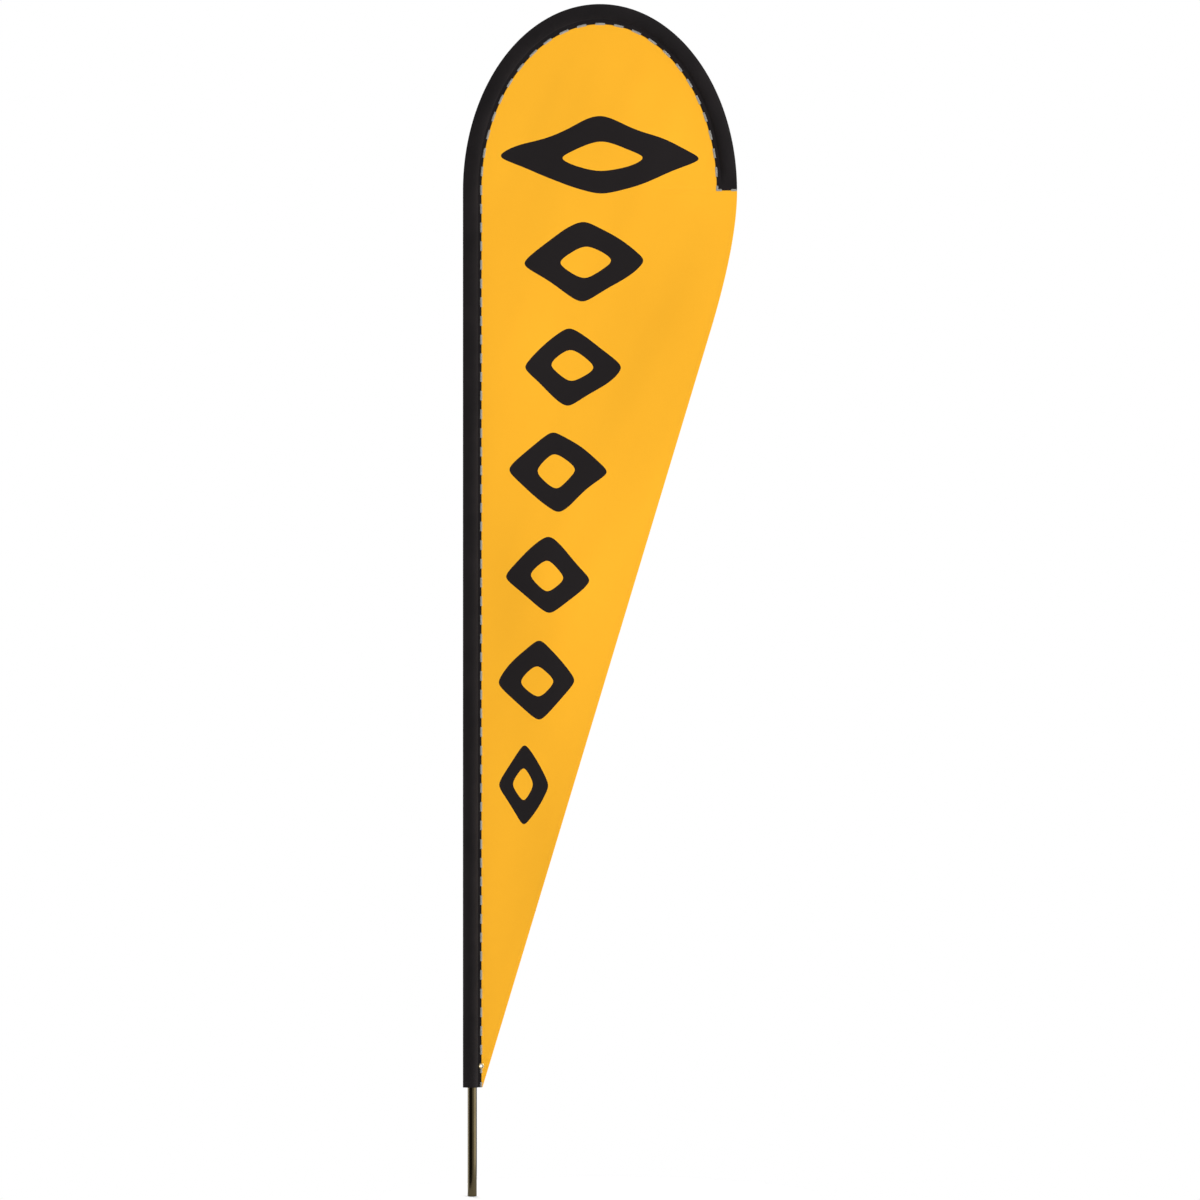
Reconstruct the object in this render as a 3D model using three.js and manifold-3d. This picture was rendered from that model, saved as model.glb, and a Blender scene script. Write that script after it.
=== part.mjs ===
// A teardrop flag: a sectioned pole that turns in its foot tube and bends over at the top,
// and a panel of cloth sewn into a black sleeve that the pole is threaded through.
// Millimetres, with +Z up the pole, +X from the pole towards the free edge, and Y through the cloth.
// The origin is the centre of the foot tube's bottom end.

import * as THREE from "three";
import { mergeVertices } from "three/addons/utils/BufferGeometryUtils.js";
import Module from "manifold-3d";

const wasm = await Module();
wasm.setup();

// ---------------------------------------------------------------- driving dimensions

const GAP = 0.3; // left between pieces that touch
const TUBE_SIDES = 24;
const ROD_SIDES = 16;

// The pole's own line: straight up, then half an ellipse over the top.
const ARCH_BASE = 2750;
const ARCH_HALF_WIDTH = 349.5;
const ARCH_RISE = 484.5;
const ARCH_STEPS = 32;

const FOOT = { outer: 12.7, inner: 11.2, length: 1080 };
const BUSH = { barrel: 10.8, bore: 9.85, flange: 12.7, depth: 80, flangeThickness: 2 };
const WASHER = { outer: 12.5, bore: 9.9, thickness: 1.5 };
const COLLAR = { outer: 12.7, bore: 9.85, length: 20 };
const COLLAR_PIN = { radius: 2, halfLength: 11.8 };
const MIDDLE = { outer: 9.5, inner: 8, insertion: 95, top: 2030 };

const SPIGOT = { outer: 7.6, bore: 6.2, length: 95, web: 5, socketDepth: 22 };
const SHOULDER = { height: 15, taper: 20, mouth: 7.6, socket: 6.4 };
const BUTTON = { radius: 3.2, head: 4, headFace: 3.4, headThickness: 0.8, end: 12, dome: 1 };
const BUTTON_BELOW_JOINT = 62;
const SPRING = { thickness: 0.6, halfWidth: 2.5, backFace: 5.2, above: 8, below: 30, bend: 6 };

const UPPER_ROD = { bottom: 6, top: 5, end: 3080 };
const WHIP_FERRULE = { outer: 6.8, bore: 5.5, overlap: 40 };
const TIP_ROD = { bottom: 5, top: 3, end: 3970 };
const TIP_CAP = { outer: 4.6, bore: 3.5, overlap: 25, end: 10 };
const TIP_POCKET = { thickness: 0.8, halfWidth: 9, length: 56 };

// The sleeve, across its width: u is measured from the pole's line towards the panel.
const SLEEVE = { bottom: 297, halfWidth: 25.5, wall: 0.8, seam: 15.5, slot: 0.7 };
const ROUND_FOOT = 14.2; // inner half depth of the sleeve round the foot tube,
const ROUND_MIDDLE = 10.5; // round the middle tube,
const ROUND_RODS = 7.5; // and round the rods in the arch
const SLEEVE_TAPER = 100;
const SLEEVE_FLAT = 10; // stretch at the sleeve's end that is sewn flat
const TIP_CLEARANCE = 12;
const SLEEVE_JOIN = 1.5; // between the lengths that the strip is divided into

const PANEL = { halfThickness: 0.4, edge: 19.5, tongue: 9, tongueNose: 24.2 };
const FREE_EDGE = { bottom: 28, straightTop: [652.3, 2368.5], bend: [724.5, 2608.8] };
const FREE_EDGE_STEPS = 12;

const GROMMET = { x: 24.6, z: 355.6, hole: 3.55, barrel: 4.3, outer: 7.8, lip: 5.6 };
const GROMMET_CUT = 4.7; // radius of the hole through the cloth
const THREAD = { from: 20.8, to: 24.8, thickness: 0.4, bottom: 380 };

// ---------------------------------------------------------------- derived heights

const arch = new THREE.EllipseCurve(
  ARCH_HALF_WIDTH, ARCH_BASE, ARCH_HALF_WIDTH, ARCH_RISE, Math.PI, 0, true,
);
arch.arcLengthDivisions = 2000;
const ARCH_LENGTH = arch.getLength();
const SLEEVE_END = ARCH_BASE + ARCH_LENGTH;
const ARCH_MIDDLE = ARCH_BASE + ARCH_LENGTH / 2;

const FLANGE_BOTTOM = FOOT.length + GAP;
const FLANGE_TOP = FLANGE_BOTTOM + BUSH.flangeThickness;
const WASHER_BOTTOM = FLANGE_TOP + GAP;
const WASHER_TOP = WASHER_BOTTOM + WASHER.thickness;
const COLLAR_BOTTOM = WASHER_TOP + GAP;
const COLLAR_TOP = COLLAR_BOTTOM + COLLAR.length;
const COLLAR_PIN_HEIGHT = (COLLAR_BOTTOM + COLLAR_TOP) / 2;
const MIDDLE_BOTTOM = FOOT.length - MIDDLE.insertion;

const SHOULDER_BOTTOM = MIDDLE.top + GAP;
const SHOULDER_TOP = SHOULDER_BOTTOM + SHOULDER.height;
const SOCKET_MOUTH = SHOULDER_TOP + SHOULDER.taper;
const SOCKET_FLOOR = MIDDLE.top - SPIGOT.socketDepth;
const SPIGOT_BOTTOM = MIDDLE.top - SPIGOT.length;
const BUTTON_HEIGHT = MIDDLE.top - BUTTON_BELOW_JOINT;
const CAP_BOTTOM = TIP_ROD.end - TIP_CAP.overlap;
const CAP_TOP = TIP_ROD.end + TIP_CAP.end;

// ---------------------------------------------------------------- the pole's line

const ARCH_STATIONS = Array.from(
  { length: ARCH_STEPS + 1 },
  (_, i) => ARCH_BASE + (ARCH_LENGTH * i) / ARCH_STEPS,
);

// Where each station of the arch stands, and which way the inside of the arch lies there.
const stationFrames = ARCH_STATIONS.map((_, i) => {
  const along = i / ARCH_STEPS;
  const tangent = arch.getTangentAt(along);
  return { centre: arch.getPointAt(along), inward: new THREE.Vector2(tangent.y, -tangent.x) };
});

// The point a distance s along the pole's line, u towards the panel and y through the cloth.
function polePoint(s, u, y) {
  if (s <= ARCH_BASE) return new THREE.Vector3(u, y, s);
  if (s >= SLEEVE_END) {
    return new THREE.Vector3(2 * ARCH_HALF_WIDTH - u, y, ARCH_BASE - (s - SLEEVE_END));
  }
  const place = ((s - ARCH_BASE) / ARCH_LENGTH) * ARCH_STEPS;
  const below = Math.min(Math.floor(place), ARCH_STEPS - 1);
  const [a, b] = [stationFrames[below], stationFrames[below + 1]];
  const from = a.centre.clone().addScaledVector(a.inward, u);
  const to = b.centre.clone().addScaledVector(b.inward, u);
  from.lerp(to, place - below);
  return new THREE.Vector3(from.x, y, from.y);
}

// The distances along the pole at which a piece needs a ring: its two ends, the arch's stations
// between them, and any extra ones.
function stationsBetween(from, to, extra = []) {
  const inside = [...ARCH_STATIONS, ...extra].filter((s) => s > from + 0.01 && s < to - 0.01);
  return [from, ...inside.sort((a, b) => a - b), to];
}

// Moves a geometry built with x = u, y = y and z = s onto the pole's line.
function bendOntoPole(geometry) {
  const position = geometry.getAttribute("position");
  for (let i = 0; i < position.count; i += 1) {
    const p = polePoint(position.getZ(i), position.getX(i), position.getY(i));
    position.setXYZ(i, p.x, p.y, p.z);
  }
  return geometry;
}

// ---------------------------------------------------------------- ways of making a piece

// Splits a turned profile's edges at the arch's stations, so that it bends with the pole.
function splitAtStations(profile) {
  const points = [profile[0]];
  for (let i = 1; i < profile.length; i += 1) {
    const [r0, s0] = profile[i - 1];
    const [r1, s1] = profile[i];
    const inside = stationsBetween(Math.min(s0, s1), Math.max(s0, s1)).slice(1, -1);
    if (s1 < s0) inside.reverse();
    for (const s of inside) points.push([r0 + ((r1 - r0) * (s - s0)) / (s1 - s0), s]);
    points.push(profile[i]);
  }
  return points;
}

// A piece turned about the pole's line from [radius, distance along the pole] points.
function turnedOnPole(profile, sides = TUBE_SIDES) {
  const points = splitAtStations(profile).map(([r, s]) => new THREE.Vector2(r, s));
  return bendOntoPole(new THREE.LatheGeometry(points, sides).rotateX(Math.PI / 2));
}

// The closed profile of a ring or tube between two radii and two heights.
function ringProfile(inner, outer, bottom, top) {
  return [[inner, bottom], [outer, bottom], [outer, top], [inner, top], [inner, bottom]];
}

// A geometry as a solid that can be cut.
function toSolid(geometry) {
  const bare = geometry.clone();
  bare.deleteAttribute("normal");
  bare.deleteAttribute("uv");
  const merged = mergeVertices(bare, 1e-3);
  return new wasm.Manifold(new wasm.Mesh({
    numProp: 3,
    vertProperties: new Float32Array(merged.getAttribute("position").array),
    triVerts: new Uint32Array(merged.getIndex().array),
  }));
}

// A geometry with other geometries cut out of it.
function cut(geometry, ...tools) {
  const solid = tools.reduce((left, tool) => left.subtract(toSolid(tool)), toSolid(geometry));
  const mesh = solid.getMesh();
  const result = new THREE.BufferGeometry();
  result.setAttribute("position", new THREE.BufferAttribute(mesh.vertProperties, 3));
  result.setIndex(new THREE.BufferAttribute(mesh.triVerts, 1));
  result.computeVertexNormals();
  return result;
}

// A round cutter or pin through the cloth's thickness, along Y.
function cylinderAlongY(radius, length, x, z, sides = TUBE_SIDES) {
  return new THREE.CylinderGeometry(radius, radius, length, sides).translate(x, 0, z);
}

// A round cutter from the pole's line out to one side, along -X.
function cylinderAlongMinusX(radius, length, z) {
  const cylinder = new THREE.CylinderGeometry(radius, radius, length, TUBE_SIDES);
  return cylinder.rotateZ(Math.PI / 2).translate(-length / 2, 0, z);
}

// A flat piece with an outline in X and Z and a thickness through Y.
function plateFromOutline(outline, halfThickness, holes = []) {
  const shape = new THREE.Shape(outline);
  shape.holes.push(...holes);
  const settings = { depth: 2 * halfThickness, bevelEnabled: false, curveSegments: TUBE_SIDES };
  const plate = new THREE.ExtrudeGeometry(shape, settings);
  return plate.rotateX(Math.PI / 2).translate(0, halfThickness, 0);
}

// ---------------------------------------------------------------- finishes

const bronzeTube = { color: 0x5a5038, roughness: 0.35, metalness: 0.9 };
const aluminium = { color: 0xa8a9ab, roughness: 0.4, metalness: 0.9 };
const springSteel = { color: 0x8d9094, roughness: 0.3, metalness: 1 };
const brass = { color: 0xc8a85a, roughness: 0.3, metalness: 1 };
const whiteNylon = { color: 0xe6e4dc, roughness: 0.5, metalness: 0 };
const greyGlassFibre = { color: 0x3a3d40, roughness: 0.45, metalness: 0 };
const blackVinyl = { color: 0x1c1c1d, roughness: 0.6, metalness: 0 };
const blackCloth = { color: 0x231f20, roughness: 0.9, metalness: 0 };
const yellowCloth = { color: 0xfeba31, roughness: 0.85, metalness: 0 };
const greyThread = { color: 0x96968e, roughness: 0.8, metalness: 0 };

const flag = new THREE.Group();

function addPiece(name, geometry, finish) {
  const mesh = new THREE.Mesh(geometry, new THREE.MeshStandardMaterial(finish));
  mesh.name = name;
  flag.add(mesh);
}

// ---------------------------------------------------------------- foot

const footTube = turnedOnPole(ringProfile(FOOT.inner, FOOT.outer, 0, FOOT.length));
addPiece("foot_tube", footTube, bronzeTube);

// The nylon bush that the pole turns in: a barrel down the foot tube, and a flange on its end.
const bush = turnedOnPole([
  [BUSH.bore, FOOT.length - BUSH.depth],
  [BUSH.barrel, FOOT.length - BUSH.depth],
  [BUSH.barrel, FLANGE_BOTTOM],
  [BUSH.flange, FLANGE_BOTTOM],
  [BUSH.flange, FLANGE_TOP],
  [BUSH.bore, FLANGE_TOP],
  [BUSH.bore, FOOT.length - BUSH.depth],
]);
addPiece("swivel_bush", bush, whiteNylon);

const washer = turnedOnPole(ringProfile(WASHER.bore, WASHER.outer, WASHER_BOTTOM, WASHER_TOP));
addPiece("thrust_washer", washer, whiteNylon);

// ---------------------------------------------------------------- middle of the pole

const pinHole = cylinderAlongY(
  COLLAR_PIN.radius + GAP, 2 * COLLAR.outer + 4, 0, COLLAR_PIN_HEIGHT,
);
const buttonHole = cylinderAlongMinusX(BUTTON.radius + GAP, 2 * MIDDLE.outer, BUTTON_HEIGHT);

const collar = turnedOnPole(ringProfile(COLLAR.bore, COLLAR.outer, COLLAR_BOTTOM, COLLAR_TOP));
addPiece("swivel_collar", cut(collar, pinHole), aluminium);

const collarPin = cylinderAlongY(
  COLLAR_PIN.radius, 2 * COLLAR_PIN.halfLength, 0, COLLAR_PIN_HEIGHT, ROD_SIDES,
);
addPiece("collar_pin", collarPin, springSteel);

const middleTube = turnedOnPole(
  ringProfile(MIDDLE.inner, MIDDLE.outer, MIDDLE_BOTTOM, MIDDLE.top),
);
addPiece("middle_tube", cut(middleTube, pinHole, buttonHole), aluminium);

// The ferrule at the bottom of the upper rod: a hollow spigot that plugs into the middle tube,
// a shoulder that rests on the tube's end, and a socket above for the rod.
const upperFerrule = turnedOnPole([
  [0, SOCKET_FLOOR - SPIGOT.web],
  [SPIGOT.bore, SOCKET_FLOOR - SPIGOT.web],
  [SPIGOT.bore, SPIGOT_BOTTOM],
  [SPIGOT.outer, SPIGOT_BOTTOM],
  [SPIGOT.outer, SHOULDER_BOTTOM],
  [MIDDLE.outer, SHOULDER_BOTTOM],
  [MIDDLE.outer, SHOULDER_TOP],
  [SHOULDER.mouth, SOCKET_MOUTH],
  [SHOULDER.socket, SOCKET_MOUTH],
  [SHOULDER.socket, SOCKET_FLOOR],
  [0, SOCKET_FLOOR],
]);
addPiece("upper_ferrule", cut(upperFerrule, buttonHole), aluminium);

// The button that locks the spigot in the tube. It slides out through both holes along -X.
const buttonProfile = [
  [0, BUTTON.headFace],
  [BUTTON.head, BUTTON.headFace],
  [BUTTON.head, BUTTON.headFace + BUTTON.headThickness],
  [BUTTON.radius, BUTTON.headFace + BUTTON.headThickness],
  [BUTTON.radius, BUTTON.end - BUTTON.dome],
  [BUTTON.radius - BUTTON.dome, BUTTON.end],
  [0, BUTTON.end],
].map(([r, out]) => new THREE.Vector2(r, out));
const button = new THREE.LatheGeometry(buttonProfile, TUBE_SIDES);
button.rotateZ(Math.PI / 2).translate(0, 0, BUTTON_HEIGHT);
addPiece("lock_button", button, springSteel);

// The leaf spring behind the button: one leg on the button's head, one against the bore's wall.
const springTop = BUTTON_HEIGHT + SPRING.above;
const springBottom = BUTTON_HEIGHT - SPRING.below;
const frontFace = GAP - BUTTON.headFace;
const springOutline = [
  [frontFace, springTop],
  [frontFace, BUTTON_HEIGHT - SPRING.bend],
  [SPRING.backFace - 3 * SPRING.thickness, springBottom],
  [SPRING.backFace, springBottom],
  [SPRING.backFace, springTop],
  [SPRING.backFace - SPRING.thickness, springTop],
  [SPRING.backFace - SPRING.thickness, springBottom + SPRING.thickness],
  [SPRING.backFace - 2.4 * SPRING.thickness, springBottom + SPRING.thickness],
  [frontFace + SPRING.thickness, BUTTON_HEIGHT - SPRING.bend],
  [frontFace + SPRING.thickness, springTop],
].map(([x, z]) => new THREE.Vector2(x, z));
addPiece("lock_spring", plateFromOutline(springOutline, SPRING.halfWidth), springSteel);

// ---------------------------------------------------------------- top of the pole

const upperRod = turnedOnPole([
  [0, SOCKET_FLOOR + GAP],
  [UPPER_ROD.bottom, SOCKET_FLOOR + GAP],
  [UPPER_ROD.top, UPPER_ROD.end],
  [0, UPPER_ROD.end],
], ROD_SIDES);
addPiece("upper_rod", upperRod, greyGlassFibre);

const whipFerrule = turnedOnPole(ringProfile(
  WHIP_FERRULE.bore,
  WHIP_FERRULE.outer,
  UPPER_ROD.end - WHIP_FERRULE.overlap,
  UPPER_ROD.end + WHIP_FERRULE.overlap,
), ROD_SIDES);
addPiece("whip_ferrule", whipFerrule, aluminium);

const tipRod = turnedOnPole([
  [0, UPPER_ROD.end + GAP],
  [TIP_ROD.bottom, UPPER_ROD.end + GAP],
  [TIP_ROD.top, TIP_ROD.end],
  [0, TIP_ROD.end],
], ROD_SIDES);
addPiece("tip_rod", tipRod, greyGlassFibre);

const tipCap = turnedOnPole([
  [0, TIP_ROD.end + GAP],
  [TIP_CAP.bore, TIP_ROD.end + GAP],
  [TIP_CAP.bore, CAP_BOTTOM],
  [TIP_CAP.outer, CAP_BOTTOM],
  [TIP_CAP.outer, CAP_TOP],
  [0, CAP_TOP],
], ROD_SIDES);
addPiece("tip_cap", tipCap, blackVinyl);

// The webbing loop that the tip pushes into: it comes up one side of the tip,
// over its end and down the other side, and is wider than the rod.
function tipPocket() {
  const start = CAP_TOP - TIP_POCKET.length;
  const floor = CAP_TOP + GAP;
  const inner = TIP_CAP.outer + GAP;
  const outer = inner + TIP_POCKET.thickness;
  const outline = [
    [-outer, start], [-inner, start], [-inner, floor], [inner, floor], [inner, start],
    [outer, start], [outer, floor + TIP_POCKET.thickness], [-outer, floor + TIP_POCKET.thickness],
  ].map(([y, s]) => new THREE.Vector2(y, s));
  const settings = { depth: 2 * TIP_POCKET.halfWidth, bevelEnabled: false };
  const loop = new THREE.ExtrudeGeometry(new THREE.Shape(outline), settings);
  // The outline's x and y become y and s, and its thickness becomes u.
  loop.translate(0, 0, -TIP_POCKET.halfWidth).rotateX(Math.PI / 2).rotateZ(Math.PI / 2);
  return bendOntoPole(loop);
}
addPiece("tip_pocket", tipPocket(), blackCloth);

// ---------------------------------------------------------------- sleeve

// The sleeve's inner half depth along the pole: close round each size of tube, and flat at the end.
const SLEEVE_DEPTHS = [
  [SLEEVE.bottom - GAP, ROUND_FOOT],
  [COLLAR_TOP + TIP_CLEARANCE, ROUND_FOOT],
  [COLLAR_TOP + TIP_CLEARANCE + SLEEVE_TAPER, ROUND_MIDDLE],
  [SOCKET_MOUTH, ROUND_MIDDLE],
  [SOCKET_MOUTH + SLEEVE_TAPER, ROUND_RODS],
  [CAP_TOP + TIP_CLEARANCE, ROUND_RODS],
  [SLEEVE_END - SLEEVE_FLAT, SLEEVE.slot],
  [SLEEVE_END, SLEEVE.slot],
];

function sleeveDepth(s) {
  const next = SLEEVE_DEPTHS.findIndex(([at]) => at >= s);
  if (next === 0) return SLEEVE_DEPTHS[0][1];
  if (next < 0) return SLEEVE.slot;
  const [s0, d0] = SLEEVE_DEPTHS[next - 1];
  const [s1, d1] = SLEEVE_DEPTHS[next];
  return d0 + ((d1 - d0) * (s - s0)) / (s1 - s0);
}

// Half of the sleeve's section, drawn one unit deep: round at the nose, and falling to the seam
// more steeply. SHALLOW is the drawn depth of the parts that lie flat on each other.
const SHALLOW = 0.1;
const NOSE_POINTS = 7;
const SEAM_POINTS = 6;

function fullness(share, power) {
  return (1 - share ** power) ** (1 / power);
}

function sleeveSection(nose, seam, edge) {
  const side = [];
  for (let i = 0; i < NOSE_POINTS; i += 1) {
    const share = Math.cos((i / NOSE_POINTS) * (Math.PI / 2));
    side.push([nose * share, SHALLOW + (1 - SHALLOW) * fullness(share, 1.6)]);
  }
  for (let i = 0; i <= SEAM_POINTS; i += 1) {
    const share = Math.sin((i / SEAM_POINTS) * (Math.PI / 2));
    side.push([seam * share, SHALLOW + (1 - SHALLOW) * fullness(share, 2)]);
  }
  side.push([edge, SHALLOW]);
  const other = side.map(([u, y]) => [u, -y]).reverse();
  return new THREE.Shape([...other, ...side].map(([u, y]) => new THREE.Vector2(u, y)));
}

// A section swept along the pole, with its drawn depth turned into the depth it has there.
function sweptSection(section, stations, flatHalf, extraDepth) {
  const steps = stations.length - 1;
  const swept = new THREE.ExtrudeGeometry(section, { depth: steps, steps, bevelEnabled: false });
  const position = swept.getAttribute("position");
  for (let i = 0; i < position.count; i += 1) {
    const s = stations[Math.round(position.getZ(i))];
    const drawn = position.getY(i);
    const share = (Math.abs(drawn) - SHALLOW) / (1 - SHALLOW);
    const full = sleeveDepth(s) + extraDepth;
    position.setY(i, Math.sign(drawn) * (flatHalf + (full - flatHalf) * share));
    position.setZ(i, s);
  }
  return bendOntoPole(swept);
}

// A length of the sleeve: a folded strip whose two edges lie each side of the panel's edge.
function sleeveLength(from, to) {
  const overrun = 1;
  const depthChanges = SLEEVE_DEPTHS.map(([s]) => s);
  const outerSection = sleeveSection(-SLEEVE.halfWidth, SLEEVE.seam + SLEEVE.wall, SLEEVE.halfWidth);
  const innerSection = sleeveSection(
    SLEEVE.wall - SLEEVE.halfWidth, SLEEVE.seam, SLEEVE.halfWidth + overrun,
  );
  const outerStations = stationsBetween(from, to, depthChanges);
  const innerStations = [from - overrun, ...outerStations.slice(1, -1), to + overrun];
  const outer = sweptSection(
    outerSection, outerStations, SLEEVE.slot + SLEEVE.wall, SLEEVE.wall,
  );
  return cut(outer, sweptSection(innerSection, innerStations, SLEEVE.slot, 0));
}

const grommetCutter = cylinderAlongY(GROMMET_CUT, 10, GROMMET.x, GROMMET.z);
const straightSleeve = cut(sleeveLength(SLEEVE.bottom, ARCH_BASE - SLEEVE_JOIN), grommetCutter);
addPiece("sleeve_straight", straightSleeve, blackCloth);
addPiece(
  "sleeve_arch_mast_side",
  sleeveLength(ARCH_BASE, ARCH_MIDDLE - SLEEVE_JOIN),
  blackCloth,
);
addPiece("sleeve_arch_fly_side", sleeveLength(ARCH_MIDDLE, SLEEVE_END), blackCloth);

// ---------------------------------------------------------------- panel

// The panel's edge runs inside the sleeve's seam from the bottom round the arch. A tongue of it
// is sewn into the sleeve's flat end, and from there its free edge falls back to the bottom.
function panelOutline() {
  const tongueFoot = SLEEVE_END - PANEL.tongue;
  const seamEdge = stationsBetween(SLEEVE.bottom + GAP, tongueFoot).map(
    (s) => polePoint(s, PANEL.edge, 0),
  );
  const tongue = [
    polePoint(tongueFoot, -PANEL.tongueNose, 0),
    polePoint(SLEEVE_END - GAP, -PANEL.tongueNose, 0),
  ];
  const tip = new THREE.Vector2(2 * ARCH_HALF_WIDTH + SLEEVE.halfWidth, ARCH_BASE - GAP);
  const curve = new THREE.QuadraticBezierCurve(
    tip, new THREE.Vector2(...FREE_EDGE.bend), new THREE.Vector2(...FREE_EDGE.straightTop),
  );
  return [
    ...[...seamEdge, ...tongue].map((p) => new THREE.Vector2(p.x, p.z)),
    new THREE.Vector2(2 * ARCH_HALF_WIDTH + PANEL.tongueNose, ARCH_BASE - GAP),
    ...curve.getPoints(FREE_EDGE_STEPS),
    new THREE.Vector2(FREE_EDGE.bottom, SLEEVE.bottom + GAP),
  ];
}

const grommetHole = new THREE.Path();
grommetHole.absarc(GROMMET.x, GROMMET.z, GROMMET_CUT, 0, 2 * Math.PI);
const panel = plateFromOutline(panelOutline(), PANEL.halfThickness, [grommetHole]);
addPiece("flag_panel", panel, yellowCloth);

// ---------------------------------------------------------------- stitching and grommet

// The seam's thread, a ribbon on one face of the sleeve's edge. face is -1 for the front.
function seamThread(face) {
  const near = SLEEVE.slot + SLEEVE.wall + GAP;
  const far = near + THREAD.thickness;
  const [low, high] = face < 0 ? [-far, -near] : [near, far];
  const section = new THREE.Shape([
    new THREE.Vector2(THREAD.from, low),
    new THREE.Vector2(THREAD.to, low),
    new THREE.Vector2(THREAD.to, high),
    new THREE.Vector2(THREAD.from, high),
  ]);
  const stations = stationsBetween(THREAD.bottom, SLEEVE_END - GAP);
  const steps = stations.length - 1;
  const ribbon = new THREE.ExtrudeGeometry(section, { depth: steps, steps, bevelEnabled: false });
  const position = ribbon.getAttribute("position");
  for (let i = 0; i < position.count; i += 1) {
    position.setZ(i, stations[Math.round(position.getZ(i))]);
  }
  return bendOntoPole(ribbon);
}
addPiece("seam_thread_front", seamThread(-1), greyThread);
addPiece("seam_thread_back", seamThread(1), greyThread);

// The eyelet's flange is on the front, and its barrel goes through the cloth and the washer,
// where it is rolled over. Heights here are towards the back, from the cloth's middle.
const CLOTH_FACE = SLEEVE.slot + SLEEVE.wall;
const FLANGE_THICKNESS = 1;
const washerFace = CLOTH_FACE + GAP + FLANGE_THICKNESS;

function turnedInCloth(profile) {
  const points = profile.map(([r, y]) => new THREE.Vector2(r, y));
  return new THREE.LatheGeometry(points, TUBE_SIDES).translate(GROMMET.x, 0, GROMMET.z);
}

const eyelet = turnedInCloth([
  [GROMMET.hole, -washerFace],
  [GROMMET.outer, -washerFace],
  [GROMMET.outer, -washerFace + FLANGE_THICKNESS],
  [GROMMET.barrel, -washerFace + FLANGE_THICKNESS],
  [GROMMET.barrel, washerFace + GAP],
  [GROMMET.lip, washerFace + GAP],
  [GROMMET.lip, washerFace + GAP + FLANGE_THICKNESS],
  [GROMMET.hole, washerFace + GAP + FLANGE_THICKNESS],
  [GROMMET.hole, -washerFace],
]);
addPiece("grommet_eyelet", eyelet, brass);

const grommetWasher = turnedInCloth(
  ringProfile(GROMMET.barrel + GAP, GROMMET.outer, CLOTH_FACE + GAP, washerFace),
);
addPiece("grommet_washer", grommetWasher, brass);

export default flag;
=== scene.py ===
# %% [markdown]
# # A teardrop flag
# This flag is a panel of yellow cloth sewn into a black sleeve, and a pole that runs up inside the
# sleeve and bends over at the top. The working parts come in as a fixed frame: their sizes and places
# are read from it, and nothing in it is moved. What is made here is cloth, thread, brass and the
# smooth surface of every tube and rod.

# %% Load the frame
import math

import bmesh
import bpy
from mathutils import Matrix, Vector, noise


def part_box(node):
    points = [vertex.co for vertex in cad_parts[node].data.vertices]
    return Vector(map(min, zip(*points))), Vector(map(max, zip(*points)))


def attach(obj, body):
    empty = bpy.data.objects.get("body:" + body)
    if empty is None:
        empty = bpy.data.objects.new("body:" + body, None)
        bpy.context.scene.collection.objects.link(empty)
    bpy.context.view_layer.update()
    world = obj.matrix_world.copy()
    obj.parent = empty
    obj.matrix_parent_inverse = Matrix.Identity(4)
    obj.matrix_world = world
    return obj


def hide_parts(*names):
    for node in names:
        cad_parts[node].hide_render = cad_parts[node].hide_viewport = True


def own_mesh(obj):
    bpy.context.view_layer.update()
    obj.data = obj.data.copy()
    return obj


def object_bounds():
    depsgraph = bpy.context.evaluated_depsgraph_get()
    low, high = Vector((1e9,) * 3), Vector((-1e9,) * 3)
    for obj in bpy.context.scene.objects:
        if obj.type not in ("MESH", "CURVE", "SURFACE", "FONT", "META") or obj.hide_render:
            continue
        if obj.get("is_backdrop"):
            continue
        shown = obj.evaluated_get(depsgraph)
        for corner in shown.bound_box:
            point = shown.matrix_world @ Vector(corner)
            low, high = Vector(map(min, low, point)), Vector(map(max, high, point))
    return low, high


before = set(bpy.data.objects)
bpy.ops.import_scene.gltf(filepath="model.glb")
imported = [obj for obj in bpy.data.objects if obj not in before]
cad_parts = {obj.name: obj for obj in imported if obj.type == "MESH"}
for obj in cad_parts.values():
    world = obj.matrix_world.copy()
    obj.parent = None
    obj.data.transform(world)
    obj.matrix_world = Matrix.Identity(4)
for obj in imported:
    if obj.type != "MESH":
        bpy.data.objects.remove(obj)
cad_low, cad_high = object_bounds()
print("CAD box", tuple(cad_low), tuple(cad_high))

# %% [markdown]
# ## The camera
# The flag is seen square on. A long lens far away keeps the pole's two edges parallel, and the view
# is only a little taller than the flag.

# %% Set the camera
MARGIN = 1.00671  # height of the view over the height of the flag
LENS = 200.0  # in millimetres, as the sensor
SENSOR = 36.0

centre = (cad_low + cad_high) / 2
view_height = (cad_high.z - cad_low.z) * MARGIN
distance = view_height / 2 / (SENSOR / 2 / LENS)

camera_data = bpy.data.cameras.new("square_camera")
camera_data.lens = LENS
camera_data.sensor_width = SENSOR
camera_data.clip_end = 100
camera = bpy.data.objects.new("square_camera", camera_data)
camera.location = (centre.x, centre.y - distance, centre.z)
camera.rotation_euler = (math.pi / 2, 0, 0)
bpy.context.scene.collection.objects.link(camera)
bpy.context.scene.camera = camera
bpy.context.scene.view_settings.view_transform = "Standard"
print("camera", round(distance, 2), "m away, view", round(view_height, 3), "m tall")

# %% [markdown]
# ## Lamps
# Cloth is best lit from all round, so most of the light comes from a white sky, which is made
# further on. A soft key lamp and a back lamp give the cloth its slow shading. A tall lamp on each
# side draws a bright line down the edges of the pole, because metal only shows what it reflects.

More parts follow.
